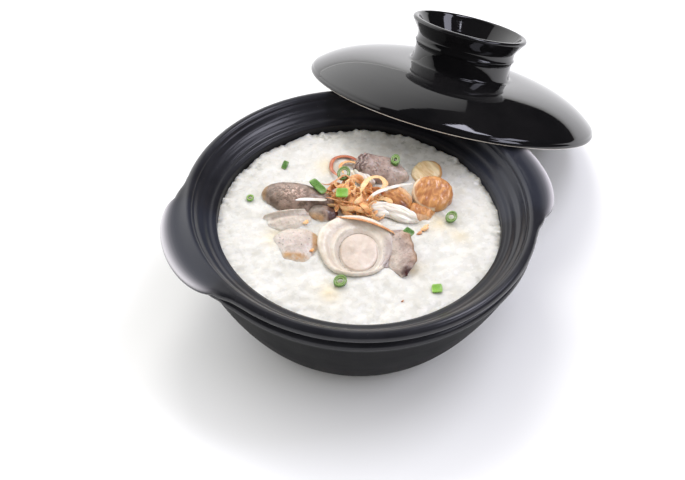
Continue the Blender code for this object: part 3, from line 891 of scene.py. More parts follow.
def make_congee():
    wall = [(row[0] + 0.1 * MM, row[1] - 0.1 * MM) for row in inner_wall(10)[4:]]
    rows = [(0, FLOOR_THICKNESS - 0.1 * MM), *reversed(wall), (CONGEE_RADIUS, 53 * MM),
            (CONGEE_RADIUS, CONGEE_LEVEL - 0.2 * MM)]
    for i in range(CONGEE_STEPS):
        reach = 1 - (i + 0.5) / CONGEE_STEPS
        rows.append((CONGEE_RADIUS * reach, CONGEE_LEVEL + CONGEE_CROWN * (1 - reach ** 4)))
    rows.append((0, CONGEE_LEVEL + CONGEE_CROWN))
    congee = bake(profile_object("congee_body", rows), TURNED, Sections=600, Material=CONGEE)
    mesh = congee.data
    points = read_points(mesh)
    radius = np.hypot(points[:, 0], points[:, 1])
    bearing = np.arctan2(points[:, 1], points[:, 0])
    on_top = points[:, 2] > CONGEE_LEVEL - 0.4 * MM
    ragged = np.array([
        noise.noise((8 * cos(a), 8 * sin(a), 0.0)) + 0.8 * noise.noise((27 * cos(a), 27 * sin(a), 3.0))
        for a in bearing
    ])
    near_wall = np.clip((radius - 70 * MM) / (6 * MM), 0, 1) ** 2
    points[:, 2] += on_top * (near_wall * (ragged * WALL_CLIMB - 0.2 * MM) + clinging(points))
    write_points(mesh, points)
    store(mesh, "local", points)
    store(mesh, "calm", np.where(on_top, np.clip((radius - 75.4 * MM) / (0.6 * MM), 0, 1), 1.0))
    # Painted shade: the thin mask grows towards the wall and the side away from the eye, under the lid.
    behind = 0.5 + 0.5 * np.sin(bearing + radians(-EYE_BEARING))
    store(mesh, "thin", np.clip((radius - 60 * MM) / (14 * MM), 0.10, 1) * (0.35 + 0.65 * behind))
    oil = sum(spread(points, *spot) for spot in OIL_SPOTS)
    store(mesh, "oil", np.clip(oil, 0, 1) * 0.5)
    congee = bake(congee, RELIEF, Swell_Size=0.015, Swell_Height=0.0013, Grain_Size=0.0060,
                  Grain_Height=0.0007, Material=CONGEE)
    return settle(congee, "congee", "congee")


congee = make_congee()

# %% [markdown]
# Whole grains that haven't burst lie in the surface, mostly sunk. They are all alike but for size and
# turn, so a tree scatters them: points on the congee, one grain on each, laid flat and turned freely.

# %% Scatter tree
def scatter_tree():
    tree, given, result = make_tree(
        "scattered_grains", "GeometryNodeTree",
        [("Geometry", "NodeSocketGeometry"), ("Apart", "NodeSocketFloat", 0.003),
         ("Density", "NodeSocketFloat", 90000.0), ("Length", "NodeSocketFloat", 0.005),
         ("Thickness", "NodeSocketFloat", 0.0018), ("Sunk", "NodeSocketFloat", 0.0005),
         ("Seed", "NodeSocketInt", 5), ("Material", "NodeSocketMaterial")],
        [("Geometry", "NodeSocketGeometry")],
    )
    free = add(tree, "GeometryNodeInputNamedAttribute", {"Name": "free"}, data_type="FLOAT").outputs[0]
    points = add(tree, "GeometryNodeDistributePointsOnFaces", {
        "Mesh": given["Geometry"], "Distance Min": given["Apart"], "Density Max": given["Density"],
        "Density Factor": free, "Seed": given["Seed"],
    }, distribute_method="POISSON")
    down = add(tree, "ShaderNodeCombineXYZ", {2: maths(tree, "MULTIPLY", given["Sunk"], -1.0)}).outputs[0]
    sunk = add(tree, "GeometryNodeSetPosition", {"Geometry": points.outputs["Points"], "Offset": down})
    spin = add(tree, "FunctionNodeRandomValue", {
        0: (-0.25, -0.25, 0.0), 1: (0.25, 0.25, 2 * pi), "Seed": given["Seed"],
    }, data_type="FLOAT_VECTOR").outputs[0]
    turn = add(tree, "FunctionNodeRotateRotation", {
        0: points.outputs["Rotation"], 1: add(tree, "FunctionNodeEulerToRotation", {0: spin}).outputs[0],
    }, rotation_space="LOCAL").outputs[0]
    size = add(tree, "FunctionNodeRandomValue", {
        2: 0.55, 3: 1.1, "Seed": maths(tree, "ADD", given["Seed"], 1),
    }, data_type="FLOAT").outputs[1]
    ball = add(tree, "GeometryNodeMeshIcoSphere", {"Radius": 0.5, "Subdivisions": 3})
    shape = add(tree, "ShaderNodeCombineXYZ", {
        0: given["Length"], 1: given["Thickness"], 2: maths(tree, "MULTIPLY", given["Thickness"], 0.8),
    }).outputs[0]
    grain = add(tree, "GeometryNodeTransform", {"Geometry": ball.outputs["Mesh"], "Scale": shape})
    placed = add(tree, "GeometryNodeInstanceOnPoints", {
        "Points": sunk.outputs[0], "Instance": grain.outputs[0], "Rotation": turn, "Scale": size,
    })
    smooth = (("GeometryNodeRealizeInstances", {}), ("GeometryNodeSetShadeSmooth", {}))
    return finish_tree(tree, placed.outputs[0], given, result, *smooth)


SCATTER = scatter_tree()


def make_grains():
    bed = link_object("congee_grains", congee.data.copy())
    points = read_points(bed.data)
    radius = np.hypot(points[:, 0], points[:, 1])
    top = (points[:, 2] > CONGEE_LEVEL - 1.5 * MM) & (radius < 74 * MM)
    store(bed.data, "free", np.where(top, 0.25 + 0.75 * np.clip((radius - 30 * MM) / (40 * MM), 0, 1), 0.0))
    grains = bake(bed, SCATTER, Apart=0.0034, Density=70000.0, Length=0.0052, Thickness=0.0019,
                  Sunk=0.0010, Seed=5, Material=CONGEE)
    return settle(grains, "congee")


make_grains()

# %% [markdown]
# ## Shapes for the toppings
# Every topping is a closed piece: rings of points from the bottom to the top, joined into a skin. A
# piece keeps its own coordinates in an attribute, so that its colours and fibres stay with it after
# it has been tipped and laid in the congee.

# %% Skins
TIP_BEARING = EYE_BEARING - 90  # the toppings show their faces to this side


def skin(name, rings, bottom, top):
    """A closed mesh object from rings of points, lowest first, each counter-clockwise from above."""
    count = len(rings[0])
    points = [tuple(bottom), *[p for ring in rings for p in ring], tuple(top)]
    last = len(points) - 1
    faces = [(0, 1 + (i + 1) % count, 1 + i) for i in range(count)]
    for level in range(len(rings) - 1):
        low, high = 1 + level * count, 1 + (level + 1) * count
        for i in range(count):
            j = (i + 1) % count
            faces.append((low + i, low + j, high + j, high + i))
    end = 1 + (len(rings) - 1) * count
    faces += [(end + i, end + (i + 1) % count, last) for i in range(count)]
    mesh = bpy.data.meshes.new(name)
    mesh.from_pydata(points, [], faces)
    mesh.update()
    store(mesh, "local", points)
    return link_object(name, mesh)


def lay(obj, spot, turn=0.0, tip=0.0):
    """Places a piece in its own mesh: turned about Z, tipped to the front, moved to spot in mm."""
    place = Matrix.Translation(Vector(spot) * MM)
    obj.data.transform(place @ lean(TIP_BEARING, tip) @ Matrix.Rotation(radians(turn), 4, "Z"))
    return obj


def lump(name, size, waves=(), flat=2.0, crown=2.0, lean_over=0.0, sections=112, levels=72):
    """A rounded piece of food, size in mm. flat and crown say how square it is from above and from
    the side, and waves are (times round, share, phase in degrees)."""
    half = [side * MM / 2 for side in size]
    rings = []
    for level in range(1, levels):
        across = -cos(pi * level / levels)
        height = abs(across) ** 0.9 * (1 if across > 0 else -1)
        share = (1 - abs(height) ** crown) ** (1 / crown)
        ring = []
        for i in range(sections):
            a = 2 * pi * i / sections
            square = (abs(cos(a)) ** flat + abs(sin(a)) ** flat) ** (-1 / flat)
            swing = 1 + sum(part * sin(times * a + radians(phase)) for times, part, phase in waves)
            r = square * share * swing
            ring.append((
                half[0] * r * cos(a) + lean_over * MM * height, half[1] * r * sin(a), half[2] * height,
            ))
        rings.append(ring)
    return skin(name, rings, (-lean_over * MM, 0, -half[2]), (lean_over * MM, 0, half[2]))


def local_points(obj):
    values = np.empty(len(obj.data.vertices) * 3)
    obj.data.attributes["local"].data.foreach_get("vector", values)
    return values.reshape(-1, 3) / MM


print("skins ready")

# %% [markdown]
# ## The large abalone slice
# A slice across an abalone shows a pale ring of muscle, a sunken brown line and a flat round boss,
# which is where the shell was held. The mantle's grey frill stands out on one side. The rings follow
# a profile, so the slice is made like the pot, but with an outline that wanders. The trough round the
# boss is also painted darker as shade, and its brown line partly stands in for shade too.

# %% Abalone finish
def abalone_finish():
    flesh = Finish("abalone", Subsurface_Weight=0.25, Subsurface_Scale=0.0016, Coat_Weight=0.35,
                   Coat_Roughness=0.15)
    flesh.shader.inputs["Subsurface Radius"].default_value = (1.0, 0.6, 0.4)
    local = flesh.attribute("local", "Vector")
    cloud = flesh.group(BLOTCHES, Vector=local, Scale=190.0, Cover=0.5, Softness=0.2)
    fine = flesh.group(BLOTCHES, Vector=local, Scale=700.0, Cover=0.45, Softness=0.15)
    dots = flesh.group(SPECKS, Vector=local, Scale=620.0, Size=0.36, Share=0.45)
    ring = flesh.mix(cloud, (0.62, 0.54, 0.44), (0.76, 0.70, 0.61))
    boss = flesh.mix(cloud, (0.56, 0.46, 0.385), (0.66, 0.565, 0.49))
    mantle = flesh.mix(cloud, (0.30, 0.23, 0.21), (0.43, 0.35, 0.33))
    mantle = flesh.mix(flesh.maths("MULTIPLY", dots, 0.8), mantle, (0.10, 0.075, 0.07))
    colour = flesh.mix(flesh.attribute("boss"), ring, boss)
    colour = flesh.mix(flesh.attribute("band"), colour, (0.52, 0.43, 0.36))
    # Painted shade: the trough's inner slope is painted darker.
    colour = flesh.mix(flesh.attribute("inner"), colour, (0.47, 0.39, 0.33))
    colour = flesh.mix(flesh.attribute("mantle"), colour, mantle)
    colour = flesh.mix(flesh.attribute("tan"), colour, (0.46, 0.34, 0.19))
    # The groove's dark line: partly the flesh's brown line, partly painted shade in the trough.
    dark_line = flesh.maths("MULTIPLY", flesh.attribute("groove"), flesh.range(fine, 0.0, 1.0, 0.65, 1.0))
    colour = flesh.mix(dark_line, colour, (0.16, 0.105, 0.075))
    colour = flesh.mix(flesh.attribute("black"), colour, (0.012, 0.010, 0.010))
    roughness = flesh.range(fine, 0.0, 1.0, 0.30, 0.48)
    bumps = flesh.bump(fine, 0.00012, 0.6)
    return flesh.set(Base_Color=flesh.milky(colour, high=56.6 * MM), Roughness=roughness, Normal=bumps)


ABALONE = abalone_finish()
print("abalone finish:", len(ABALONE.node_tree.nodes), "nodes")

# %% Abalone slice
RING_OUT, FRILL_REACH = 20.0, 9.0
BOSS_ACROSS, BOSS_DEEP = 9.9, 12.3
BOSS_SHIFT = (2.1, -3.9)


def angle_off(a, bearing):
    """Degrees between an angle in radians and a bearing in degrees, from -180 to 180."""
    return (a * 180 / pi - bearing + 180) % 360 - 180


def frill_share(a):
    """The frill grows slowly from the back of the slice and ends in a sharp tip in front."""
    return ease(angle_off(a, -24), -18, -7) * ease(-angle_off(a, -24), -54, 2) ** 0.8


def slice_rows(a):
    """The slice's profile at one angle, in mm: (radius, height, share of the boss's shift)."""
    frill = frill_share(a)
    low = 1.7 * ease(-abs(angle_off(a, -18)), -75, -10)
    wander = 1 + 0.025 * sin(3 * a + 0.7) + 0.015 * sin(5 * a)
    ruffle = (0.3 * sin(13 * a) + 0.15 * sin(23 * a + 1)) * frill
    rim = RING_OUT * wander
    out = rim + 0.8 + FRILL_REACH * frill + ruffle
    boss = 1 / hypot(cos(a) / BOSS_ACROSS, sin(a) / BOSS_DEEP)
    rib = 1.3 * ease(-abs(angle_off(a, 165)), -85, -30)
    span = rim - 1.8 - (boss + 3.2)
    return [
        (out * 0.90, -5.4, 0), (out * 0.985, -3.6, 0), (out, -1.9, 0), (out - 0.3, -0.3 + ruffle * 0.6, 0),
        (out - 1.3 - 0.35 * (out - rim), 1.0 - 0.6 * ruffle, 0), (rim + 0.15, 2.7 - 0.7 * low, 0),
        (rim - 0.35, 3.9 - low, 0.05), (rim - 1.5, 4.5 - low, 0.12),
        (rim - 1.8 - 0.3 * span, 4.15 - low, 0.35),
        (boss + 3.2 + 0.35 * span, 3.2 - 0.6 * low, 0.6), (boss + 3.1, 2.3 + rib, 0.85),
        (boss + 2.2, 1.9 + 0.4 * rib, 0.92), (boss + 1.0, 1.5, 1), (boss + 0.4, 1.4, 1),
        (boss - 0.1, 1.9, 1), (boss - 0.7, 2.55, 1),
        (boss * 0.70, 2.9, 1), (boss * 0.35, 3.05, 1),
    ]


def make_slice():
    sections, steps = 220, 5
    columns = [smooth_through(slice_rows(2 * pi * i / sections), steps) for i in range(sections)]
    rings = []
    for level in range(len(columns[0])):
        ring = []
        for i, column in enumerate(columns):
            a, (r, z, shift) = 2 * pi * i / sections, column[level]
            ring.append(((r * cos(a) + shift * BOSS_SHIFT[0]) * MM, (r * sin(a) + shift * BOSS_SHIFT[1]) * MM,
                         (z + 0.4 * sin(3 * a)) * MM))
        rings.append(ring)
    boss_top = (BOSS_SHIFT[0] * MM, BOSS_SHIFT[1] * MM, 3.1 * MM)
    piece = skin("abalone_slice_piece", rings, (0, 0, -5.6 * MM), boss_top)
    level = np.concatenate([[0], np.repeat(np.arange(len(rings)), sections), [len(rings)]]) / steps
    around = np.concatenate([[0], np.tile(np.arange(sections), len(rings)) * 2 * pi / sections, [0]])
    mesh, local = piece.data, local_points(piece)
    side = np.array([frill_share(a) for a in around]) ** 0.5
    off = np.abs((np.degrees(around) + 20 + 180) % 360 - 180)
    crease_off = np.abs((np.degrees(around) + 42 + 180) % 360 - 180)
    crease = np.exp(-((crease_off / 26) ** 2)) * np.exp(-(((level - 13.9) / 0.30) ** 2))
    # Groove and crease: partly the flesh's brown line, partly painted shade in the trough.
    groove = np.exp(-(((level - 12.5) / 0.55) ** 2)) * (0.30 + 0.70 * np.clip((off - 30) / 60, 0, 1))
    mantle = np.clip((5.3 - level) / 0.7, 0, 1) + 0.85 * np.clip((11.5 - level) / 3.5, 0, 1)
    store(mesh, "boss", np.clip((level - 13.3) / 0.5, 0, 1))
    # Painted shade: inner darkens the trough's inner slope.
    store(mesh, "inner", 0.55 * np.exp(-(((level - 11.5) / 0.6) ** 2)))
    store(mesh, "band", 0.7 * np.exp(-(((level - 8.6) / 0.9) ** 2)))
    store(mesh, "groove", np.clip(groove * 0.9 + crease * 1.2, 0, 1))
    store(mesh, "mantle", np.clip(mantle, 0, 1) * np.clip(side * 1.6, 0, 1))
    store(mesh, "tan", np.clip((2.9 - level) / 0.5, 0, 1) * side)
    store(mesh, "calm", np.clip((level - 12.5) / 1.0, 0, 1) * 0.75)
    apart = np.hypot((local[:, 0] - 27.6) / 2.4, (local[:, 1] + 16.2) / 3.6)
    store(mesh, "black", np.clip(1.5 - apart, 0, 1) * (level < 6))
    piece = bake(piece, RELIEF, Swell_Size=0.007, Swell_Height=0.00035, Grain_Size=0.002,
                 Grain_Height=0.00012, Material=ABALONE)
    return settle(lay(piece, (-9.0, -19.0, 56.9), EYE_BEARING, 8.0), "abalone", "abalone_slice")


make_slice()

# %% [markdown]
# ## The other abalone pieces
# These show more of the mantle than the muscle: brown-grey, freckled, with a tan foot and a paler
# belly. One finish serves all of them. Each piece says in its masks where it is tan, pale or near-black;
# the near-black is the skin's own black tip in one piece and painted shade in hollows, valleys and
# under a rim in others.

# %% Mantle finish
def mantle_finish(name, dark, light, freckle, film=57.2 * MM):
    """Speckled skin. Masks colour parts of a piece tan, pale or near-black, the near-black both the skin's
    own dark and painted shade; congee films it up to film.
    """
    look = Finish(name, Subsurface_Weight=0.12, Subsurface_Scale=0.0012, Coat_Weight=0.45,
                  Coat_Roughness=0.18)
    local = look.attribute("local", "Vector")
    cloud = look.group(BLOTCHES, Vector=local, Scale=260.0, Cover=0.5, Softness=0.16)
    flecks = look.group(BLOTCHES, Vector=local, Scale=800.0, Cover=0.44, Softness=0.08)
    dots = look.group(SPECKS, Vector=local, Scale=520.0, Size=0.32, Share=0.4)
    colour = look.mix(cloud, dark, light)
    colour = look.mix(look.maths("MULTIPLY", flecks, look.attribute("freckled")), colour, freckle)
    colour = look.mix(look.maths("MULTIPLY", dots, 0.5), colour, (0.06, 0.045, 0.04))
    # Near-black share: the skin's own black tip in one piece, painted shade in hollows, valleys and under a
    # rim in others.
    for mask, shade in (("pale", (0.62, 0.54, 0.45)), ("tan", (0.50, 0.29, 0.13)),
                        ("burnt", (0.055, 0.014, 0.012))):
        share = look.maths("MULTIPLY", look.attribute(mask), look.range(cloud, 0, 1, 0.72, 1.0))
        colour = look.mix(share, colour, shade)
    bumps = look.bump(flecks, 0.00014, 0.6)
    bumps = look.bump(cloud, 0.0003, 0.5, bumps)
    roughness = look.range(flecks, 0.0, 1.0, 0.30, 0.46)
    return look.set(Base_Color=look.milky(colour, high=film), Roughness=roughness, Normal=bumps)


DARK_MANTLE = mantle_finish("abalone_dark_skin", (0.16, 0.110, 0.080), (0.33, 0.235, 0.185),
                            (0.72, 0.52, 0.43))
GREY_MANTLE = mantle_finish("abalone_grey_skin", (0.29, 0.205, 0.175), (0.45, 0.345, 0.30),
                            (0.12, 0.075, 0.06))
SOFT_MANTLE = mantle_finish("abalone_soft_skin", (0.50, 0.42, 0.37), (0.62, 0.54, 0.49),
                            (0.42, 0.33, 0.27), film=58.2 * MM)
print("mantle finishes:", [m.name for m in (DARK_MANTLE, GREY_MANTLE, SOFT_MANTLE)])

# %% Dark abalone
def make_dark():
    """The freckled piece. Its right end is a hollow painted near-black as shade, its left end and its belly
    are tan.
    """
    piece = lump("abalone_dark_piece", (38.5, 22.0, 17.0), ((2, 0.05, 90), (3, 0.05, 20)), 1.85, 2.1, 1.5)
    p = local_points(piece)
    x, y, z = p.T
    hollow = np.exp(-((x - 13.5) / 4.6) ** 2 - ((y + 6.5) / 3.6) ** 2)
    depth = np.where(z > -3, hollow * 3.2, 0)
    points = read_points(piece.data)
    points[:, 2] -= depth * MM
    points[:, 1] += depth * 0.5 * MM
    write_points(piece.data, points)
    low = np.clip((1.5 - z - 0.25 * (y + 8)) / 3.5, 0, 1) * np.clip((2 - y) / 4, 0, 1)
    left_end = 0.8 * np.clip((-16.3 - x) / 1.8, 0, 1)
    store(piece.data, "tan", np.clip(left_end + 0.8 * low * (x > -6) * (x < 9), 0, 1))
    store(piece.data, "pale", 0.5 * low * (x < 4))
    # Painted shade: the hollow is painted near-black.
    store(piece.data, "burnt", np.clip(hollow * 2.0 - 0.35, 0, 1))
    store(piece.data, "freckled", np.exp(-((x + 3) / 8) ** 2 - ((y - 0.5) / 4.5) ** 2))
    piece = bake(piece, RELIEF, Swell_Size=0.009, Swell_Height=0.0004, Grain_Size=0.0016,
                 Grain_Height=0.0002, Material=DARK_MANTLE)
    return settle(lay(piece, (-26.8, 25.0, 56.2), -31, 12), "abalone_skin", "abalone_dark")


def make_belly():
    """The belly of the dark piece: tan where it meets the congee, its right end painted near-black as shade.
    """
    belly = lump("abalone_dark_belly", (17.0, 11.0, 8.0), ((2, 0.05, 40), (3, 0.04, 0)), 2.2, 2.0)
    x, y, z = local_points(belly).T
    # Painted shade: the right end is painted near-black; it has no hollow of its own.
    store(belly.data, "burnt", np.clip((x - 2.6 + 0.3 * y) / 1.4, 0, 1))
    store(belly.data, "pale", np.clip((1.5 - x) / 5, 0, 1) * 0.45)
    store(belly.data, "tan", np.clip((-y - 1.5) / 2.0, 0, 1) * np.clip((3.0 - x) / 2, 0, 1) * 0.8)
    belly = bake(belly, RELIEF, Swell_Size=0.007, Swell_Height=0.0005, Grain_Size=0.0016,
                 Grain_Height=0.0002, Material=DARK_MANTLE)
    return settle(lay(belly, (-17.2, 11.4, 56.2), -36, 14), "abalone_skin")


make_dark()
make_belly()

# %% Grey abalone
def make_grey():
    """The piece behind the heap: a frilled fringe at its left end, its valleys painted near-black as shade, a
    red-brown foot in front.
    """
    piece = lump("abalone_back_piece", (31.0, 18.5, 16.0), ((2, 0.04, 0), (5, 0.05, 60)), 2.2, 2.2)
    p = local_points(piece)
    x, y, z = p.T
    fringe = np.clip((-6.0 - x) / 4, 0, 1)
    line = np.exp(-((x + 2.2 + 0.9 * np.sin(y * 2.4)) / 0.55) ** 2) * (y < 3)
    ridges = np.sin(x * 2.6 + 1.6 * np.sin(y * 1.1)) * fringe * 0.55 + line * 0.8
    points = read_points(piece.data)
    points[:, 2] += (ridges + 2.6 * np.clip((-x - 1) / 9, 0, 1) * (z > 0)) * MM
    write_points(piece.data, points)
    store(piece.data, "freckled", np.clip(fringe + line, 0, 1))
    # Painted shade: the fringe's valleys are painted near-black.
    store(piece.data, "burnt", np.clip(0.8 * fringe * (np.sin(x * 2.6 + 1.6 * np.sin(y * 1.1)) < -0.2), 0, 1))
    store(piece.data, "tan", np.clip((0.2 - z) / 2.5, 0, 1) * np.clip((-y) / 3, 0, 1))
    store(piece.data, "pale", 0.35 * np.clip((x - 5) / 5, 0, 1) * (z > 0))
    piece = bake(piece, RELIEF, Swell_Size=0.007, Swell_Height=0.0006, Grain_Size=0.0014,
                 Grain_Height=0.0002, Material=GREY_MANTLE)
    return settle(lay(piece, (24.0, 32.5, 56.2), -38, 15), "abalone_skin", "abalone_back")


make_grey()

# %% Sunk abalone
def make_sunk():
    """A block that has sunk until only its top and its tan front show."""
    piece = lump("abalone_sunk_piece", (24.5, 27.5, 12.5), ((3, 0.07, 10), (5, 0.03, 40)), 2.4, 2.1)
    x, y, z = local_points(piece).T
    front = np.clip((-5.0 - y - 0.15 * x) / 2.0, 0, 1)
    right = np.clip((x - 7.4) / 1.4, 0, 1)
    store(piece.data, "tan", np.clip(front + right, 0, 1))
    store(piece.data, "pale", np.clip((y - 5) / 4, 0, 1) * 0.6)
    store(piece.data, "freckled", np.clip((x - 2) / 6, 0, 1) * 0.5)
    piece = bake(piece, RELIEF, Swell_Size=0.009, Swell_Height=0.0009, Grain_Size=0.002,
                 Grain_Height=0.0002, Material=SOFT_MANTLE)
    return settle(lay(piece, (-37.6, -7.8, 53.7), -18, 8), "abalone", "abalone_sunk")


def make_pale():
    """A pale flap at the congee's surface, with a raised rim along its back and a line of painted shade in
    front of the rim.
    """
    piece = lump("abalone_pale_piece", (26.0, 15.0, 11.0), ((3, 0.06, 40),), 2.4)
    x, y, z = local_points(piece).T
    rim = np.exp(-((y - 3.4 - 0.04 * x * x * 0.2) / 0.9) ** 2) * (z > 0)
    points = read_points(piece.data)
    points[:, 2] += (rim * 1.7 - 0.8 * np.exp(-((y - 0.8) / 1.6) ** 2) * (z > 0)) * MM
    write_points(piece.data, points)
    store(piece.data, "pale", np.clip(0.75 + rim, 0, 1))
    # Painted shade: a dark line in the dip in front of the rim.
    store(piece.data, "burnt", 0.45 * np.exp(-((y - 1.2) / 0.8) ** 2) * (z > 0) * (x > -8))
    piece = bake(piece, RELIEF, Swell_Size=0.008, Swell_Height=0.0009, Grain_Size=0.002,
                 Grain_Height=0.00025, Material=SOFT_MANTLE)
    return settle(lay(piece, (-36.5, 12.5, 54.6), -8, 8), "abalone", "abalone_pale")


make_sunk()
make_pale()

# %% [markdown]
# ## Dried scallops and white meat
# A dried scallop is a bundle of fibres: it tears along them and shows their ends on its face. The
# white meat is shredded the same way. The relief tree is stretched along one axis to make fibres.

# %% Fibre finish
def fibre_finish(name, deep, bright, rim, stretch, scatter):
    """Fibrous flesh. The rim mask turns an edge to a second, more see-through colour."""
    meat = Finish(name, Subsurface_Weight=scatter, Subsurface_Scale=0.0018, Coat_Weight=0.5,
                  Coat_Roughness=0.16)
    meat.shader.inputs["Subsurface Radius"].default_value = (1.0, 0.5, 0.25)
    local = meat.attribute("local", "Vector")
    drawn = add(meat.tree, "ShaderNodeMapping", {"Vector": local, "Scale": stretch}).outputs[0]
    strands = add(meat.tree, "ShaderNodeTexNoise", {
        "Vector": drawn, "Scale": 380.0, "Detail": 5.0, "Distortion": 1.1,
    }).outputs[0]
    cloud = meat.group(BLOTCHES, Vector=local, Scale=170.0, Cover=0.5, Softness=0.2)
    colour = meat.mix(meat.range(strands, 0.32, 0.68), deep, bright)
    colour = meat.mix(meat.maths("MULTIPLY", cloud, 0.35), colour, bright)
    colour = meat.mix(meat.attribute("rim"), colour, rim)
    colour = meat.mix(meat.attribute("burnt"), colour, (0.10, 0.02, 0.02))
    roughness = meat.range(strands, 0.3, 0.7, 0.50, 0.28)
    bumps = meat.bump(strands, 0.0005, 0.6)
    return meat.set(Base_Color=meat.milky(colour, high=56.8 * MM), Roughness=roughness, Normal=bumps)


AMBER = fibre_finish("scallop_amber", (0.34, 0.115, 0.034), (0.62, 0.30, 0.105), (0.80, 0.66, 0.48),
                     (1.0, 0.5, 0.4), 0.15)
PALE_SCALLOP = fibre_finish("scallop_pale_flesh", (0.52, 0.34, 0.15), (0.72, 0.58, 0.36), (0.50, 0.24, 0.07),
                            (1.0, 0.25, 0.25), 0.2)
WHITE_MEAT = fibre_finish("white_meat", (0.62, 0.55, 0.46), (0.84, 0.81, 0.75), (0.60, 0.36, 0.24),
                          (0.14, 1.0, 1.0), 0.2)
print("fibre finishes:", [m.name for m in (AMBER, PALE_SCALLOP, WHITE_MEAT)])

# %% Scallops
def fibrous(name, node, size, spot, turn, tip, look, slot, stretch, rim, waves=(), flat=2.0, crown=2.0,
            burnt=None, height=0.0007):
    piece = lump(name, size, waves, flat, crown)
    x, y, z = local_points(piece).T
    store(piece.data, "rim", np.clip(rim(x, y, z), 0, 1))
    if burnt:
        store(piece.data, "burnt", np.clip(burnt(x, y, z), 0, 1))
    piece = bake(piece, RELIEF, Swell_Size=0.006, Swell_Height=height, Grain_Size=0.0021,
                 Grain_Height=height * 1.1, Stretch=stretch, Material=look)
    return settle(lay(piece, spot, turn, tip), slot, *([node] if node else []))


fibrous(
    "scallop_right_piece", "scallop_right", (22.5, 21.5, 12.5), (43.6, 5.0, 58.4), -35, 18, AMBER, "scallop",
    (1.0, 0.55, 0.4), lambda x, y, z: np.clip((np.hypot(x, y) - 9.6) / 0.8, 0, 1) * (x < 4) * (z > 0) * 0.9,
    ((3, 0.03, 0),), crown=4.0)
fibrous(
    "scallop_rear_piece", "scallop_rear", (18.0, 17.0, 12.0), (48.0, 24.5, 54.0), 20, 10, PALE_SCALLOP,
    "scallop", (1.0, 0.3, 0.25),
    lambda x, y, z: np.clip((np.hypot(x, y) - 6.9) / 0.9, 0, 1) * (x > -3) * (y < 5),
    ((2, 0.03, 50),), crown=4.0)
fibrous(
    "scallop_torn_piece", "scallop_torn", (14.0, 17.0, 12.0), (25.0, 7.5, 57.8), 25, 20, AMBER, "scallop",
    (1.0, 0.3, 0.25), lambda x, y, z: 0.4 * np.clip((x - 3) / 2, 0, 1), ((3, 0.08, 80),), 2.6,
    burnt=lambda x, y, z: 0.85 * np.exp(-((x + 1.5) / 2.2) ** 2 - ((y + 5.5) / 2.2) ** 2), height=0.0011)
fibrous(
    "scallop_under_piece", "scallop_under", (15.0, 13.0, 10.0), (34.0, -3.5, 55.2), -30, 12, AMBER, "scallop",
    (1.0, 0.3, 0.25), lambda x, y, z: 0.3 * (y < -3), ((3, 0.06, 10),), 2.4, height=0.0011)

# %% White meat
fibrous(
    "meat_front_piece", "meat_front", (24.0, 9.0, 8.5), (20.5, -1.5, 57.8), -43, 8, WHITE_MEAT, "white_meat",
    (0.13, 1.0, 1.0), lambda x, y, z: 0.25 * np.clip((-z) / 2, 0, 1), ((2, 0.06, 20), (5, 0.06, 80)), 2.6,
    height=0.0015)
fibrous(
    "meat_chunk", "", (14.0, 10.0, 7.0), (12.6, 3.0, 58.4), -15, 10, WHITE_MEAT, "white_meat",
    (0.13, 1.0, 1.0), lambda x, y, z: 0.25 * np.clip((-z) / 2, 0, 1), ((3, 0.08, 40),), 2.6, height=0.0015)
fibrous(
    "meat_rear_piece", "meat_rear", (17.0, 8.0, 8.0), (12.2, 30.0, 57.8), -70, 6, WHITE_MEAT, "white_meat",
    (0.13, 1.0, 1.0), lambda x, y, z: 0.2 * np.clip((-z) / 2, 0, 1), ((3, 0.06, 0),), 2.6, height=0.0014)

# %% [markdown]
# ## Fried shallots
# Shallots are sliced into thin rings and fried until they curl and turn golden. A heap of them is all
# edges and gaps, so a solid lump would look wrong: a small core gives the heap its body, and a tree
# covers it with strips. Each strip is part of a ring, turned at random, bent by a wandering offset
# and swept with a flat section. The strip keeps a random number, which sets how far it is fried.

# %% Shallot finish
def shallot_finish():
    crisp = Finish("fried_shallot", Subsurface_Weight=0.3, Subsurface_Scale=0.001, Coat_Weight=0.4,
                   Coat_Roughness=0.22)
    crisp.shader.inputs["Subsurface Radius"].default_value = (1.0, 0.45, 0.15)
    where = crisp.position()
    cloud = crisp.group(BLOTCHES, Vector=where, Scale=330.0, Cover=0.5, Softness=0.2)
    fine = crisp.group(BLOTCHES, Vector=where, Scale=1100.0, Cover=0.45, Softness=0.15)
    fried = crisp.attribute("fried")
    colour = crisp.mix(crisp.range(fried, 0.0, 0.75), (0.93, 0.63, 0.34), (0.78, 0.36, 0.12))
    colour = crisp.mix(crisp.range(fried, 0.76, 1.0), colour, (0.36, 0.095, 0.035))
    colour = crisp.mix(crisp.maths("MULTIPLY", cloud, 0.6), colour, (0.90, 0.58, 0.30))
    colour = crisp.mix(crisp.maths("MULTIPLY", fine, 0.25), colour, (0.42, 0.13, 0.04))
    bumps = crisp.bump(fine, 0.0002, 0.5)
    return crisp.set(Base_Color=colour, Roughness=crisp.range(cloud, 0, 1, 0.28, 0.5), Normal=bumps)


SHALLOT = shallot_finish()
print("shallot finish:", len(SHALLOT.node_tree.nodes), "nodes")

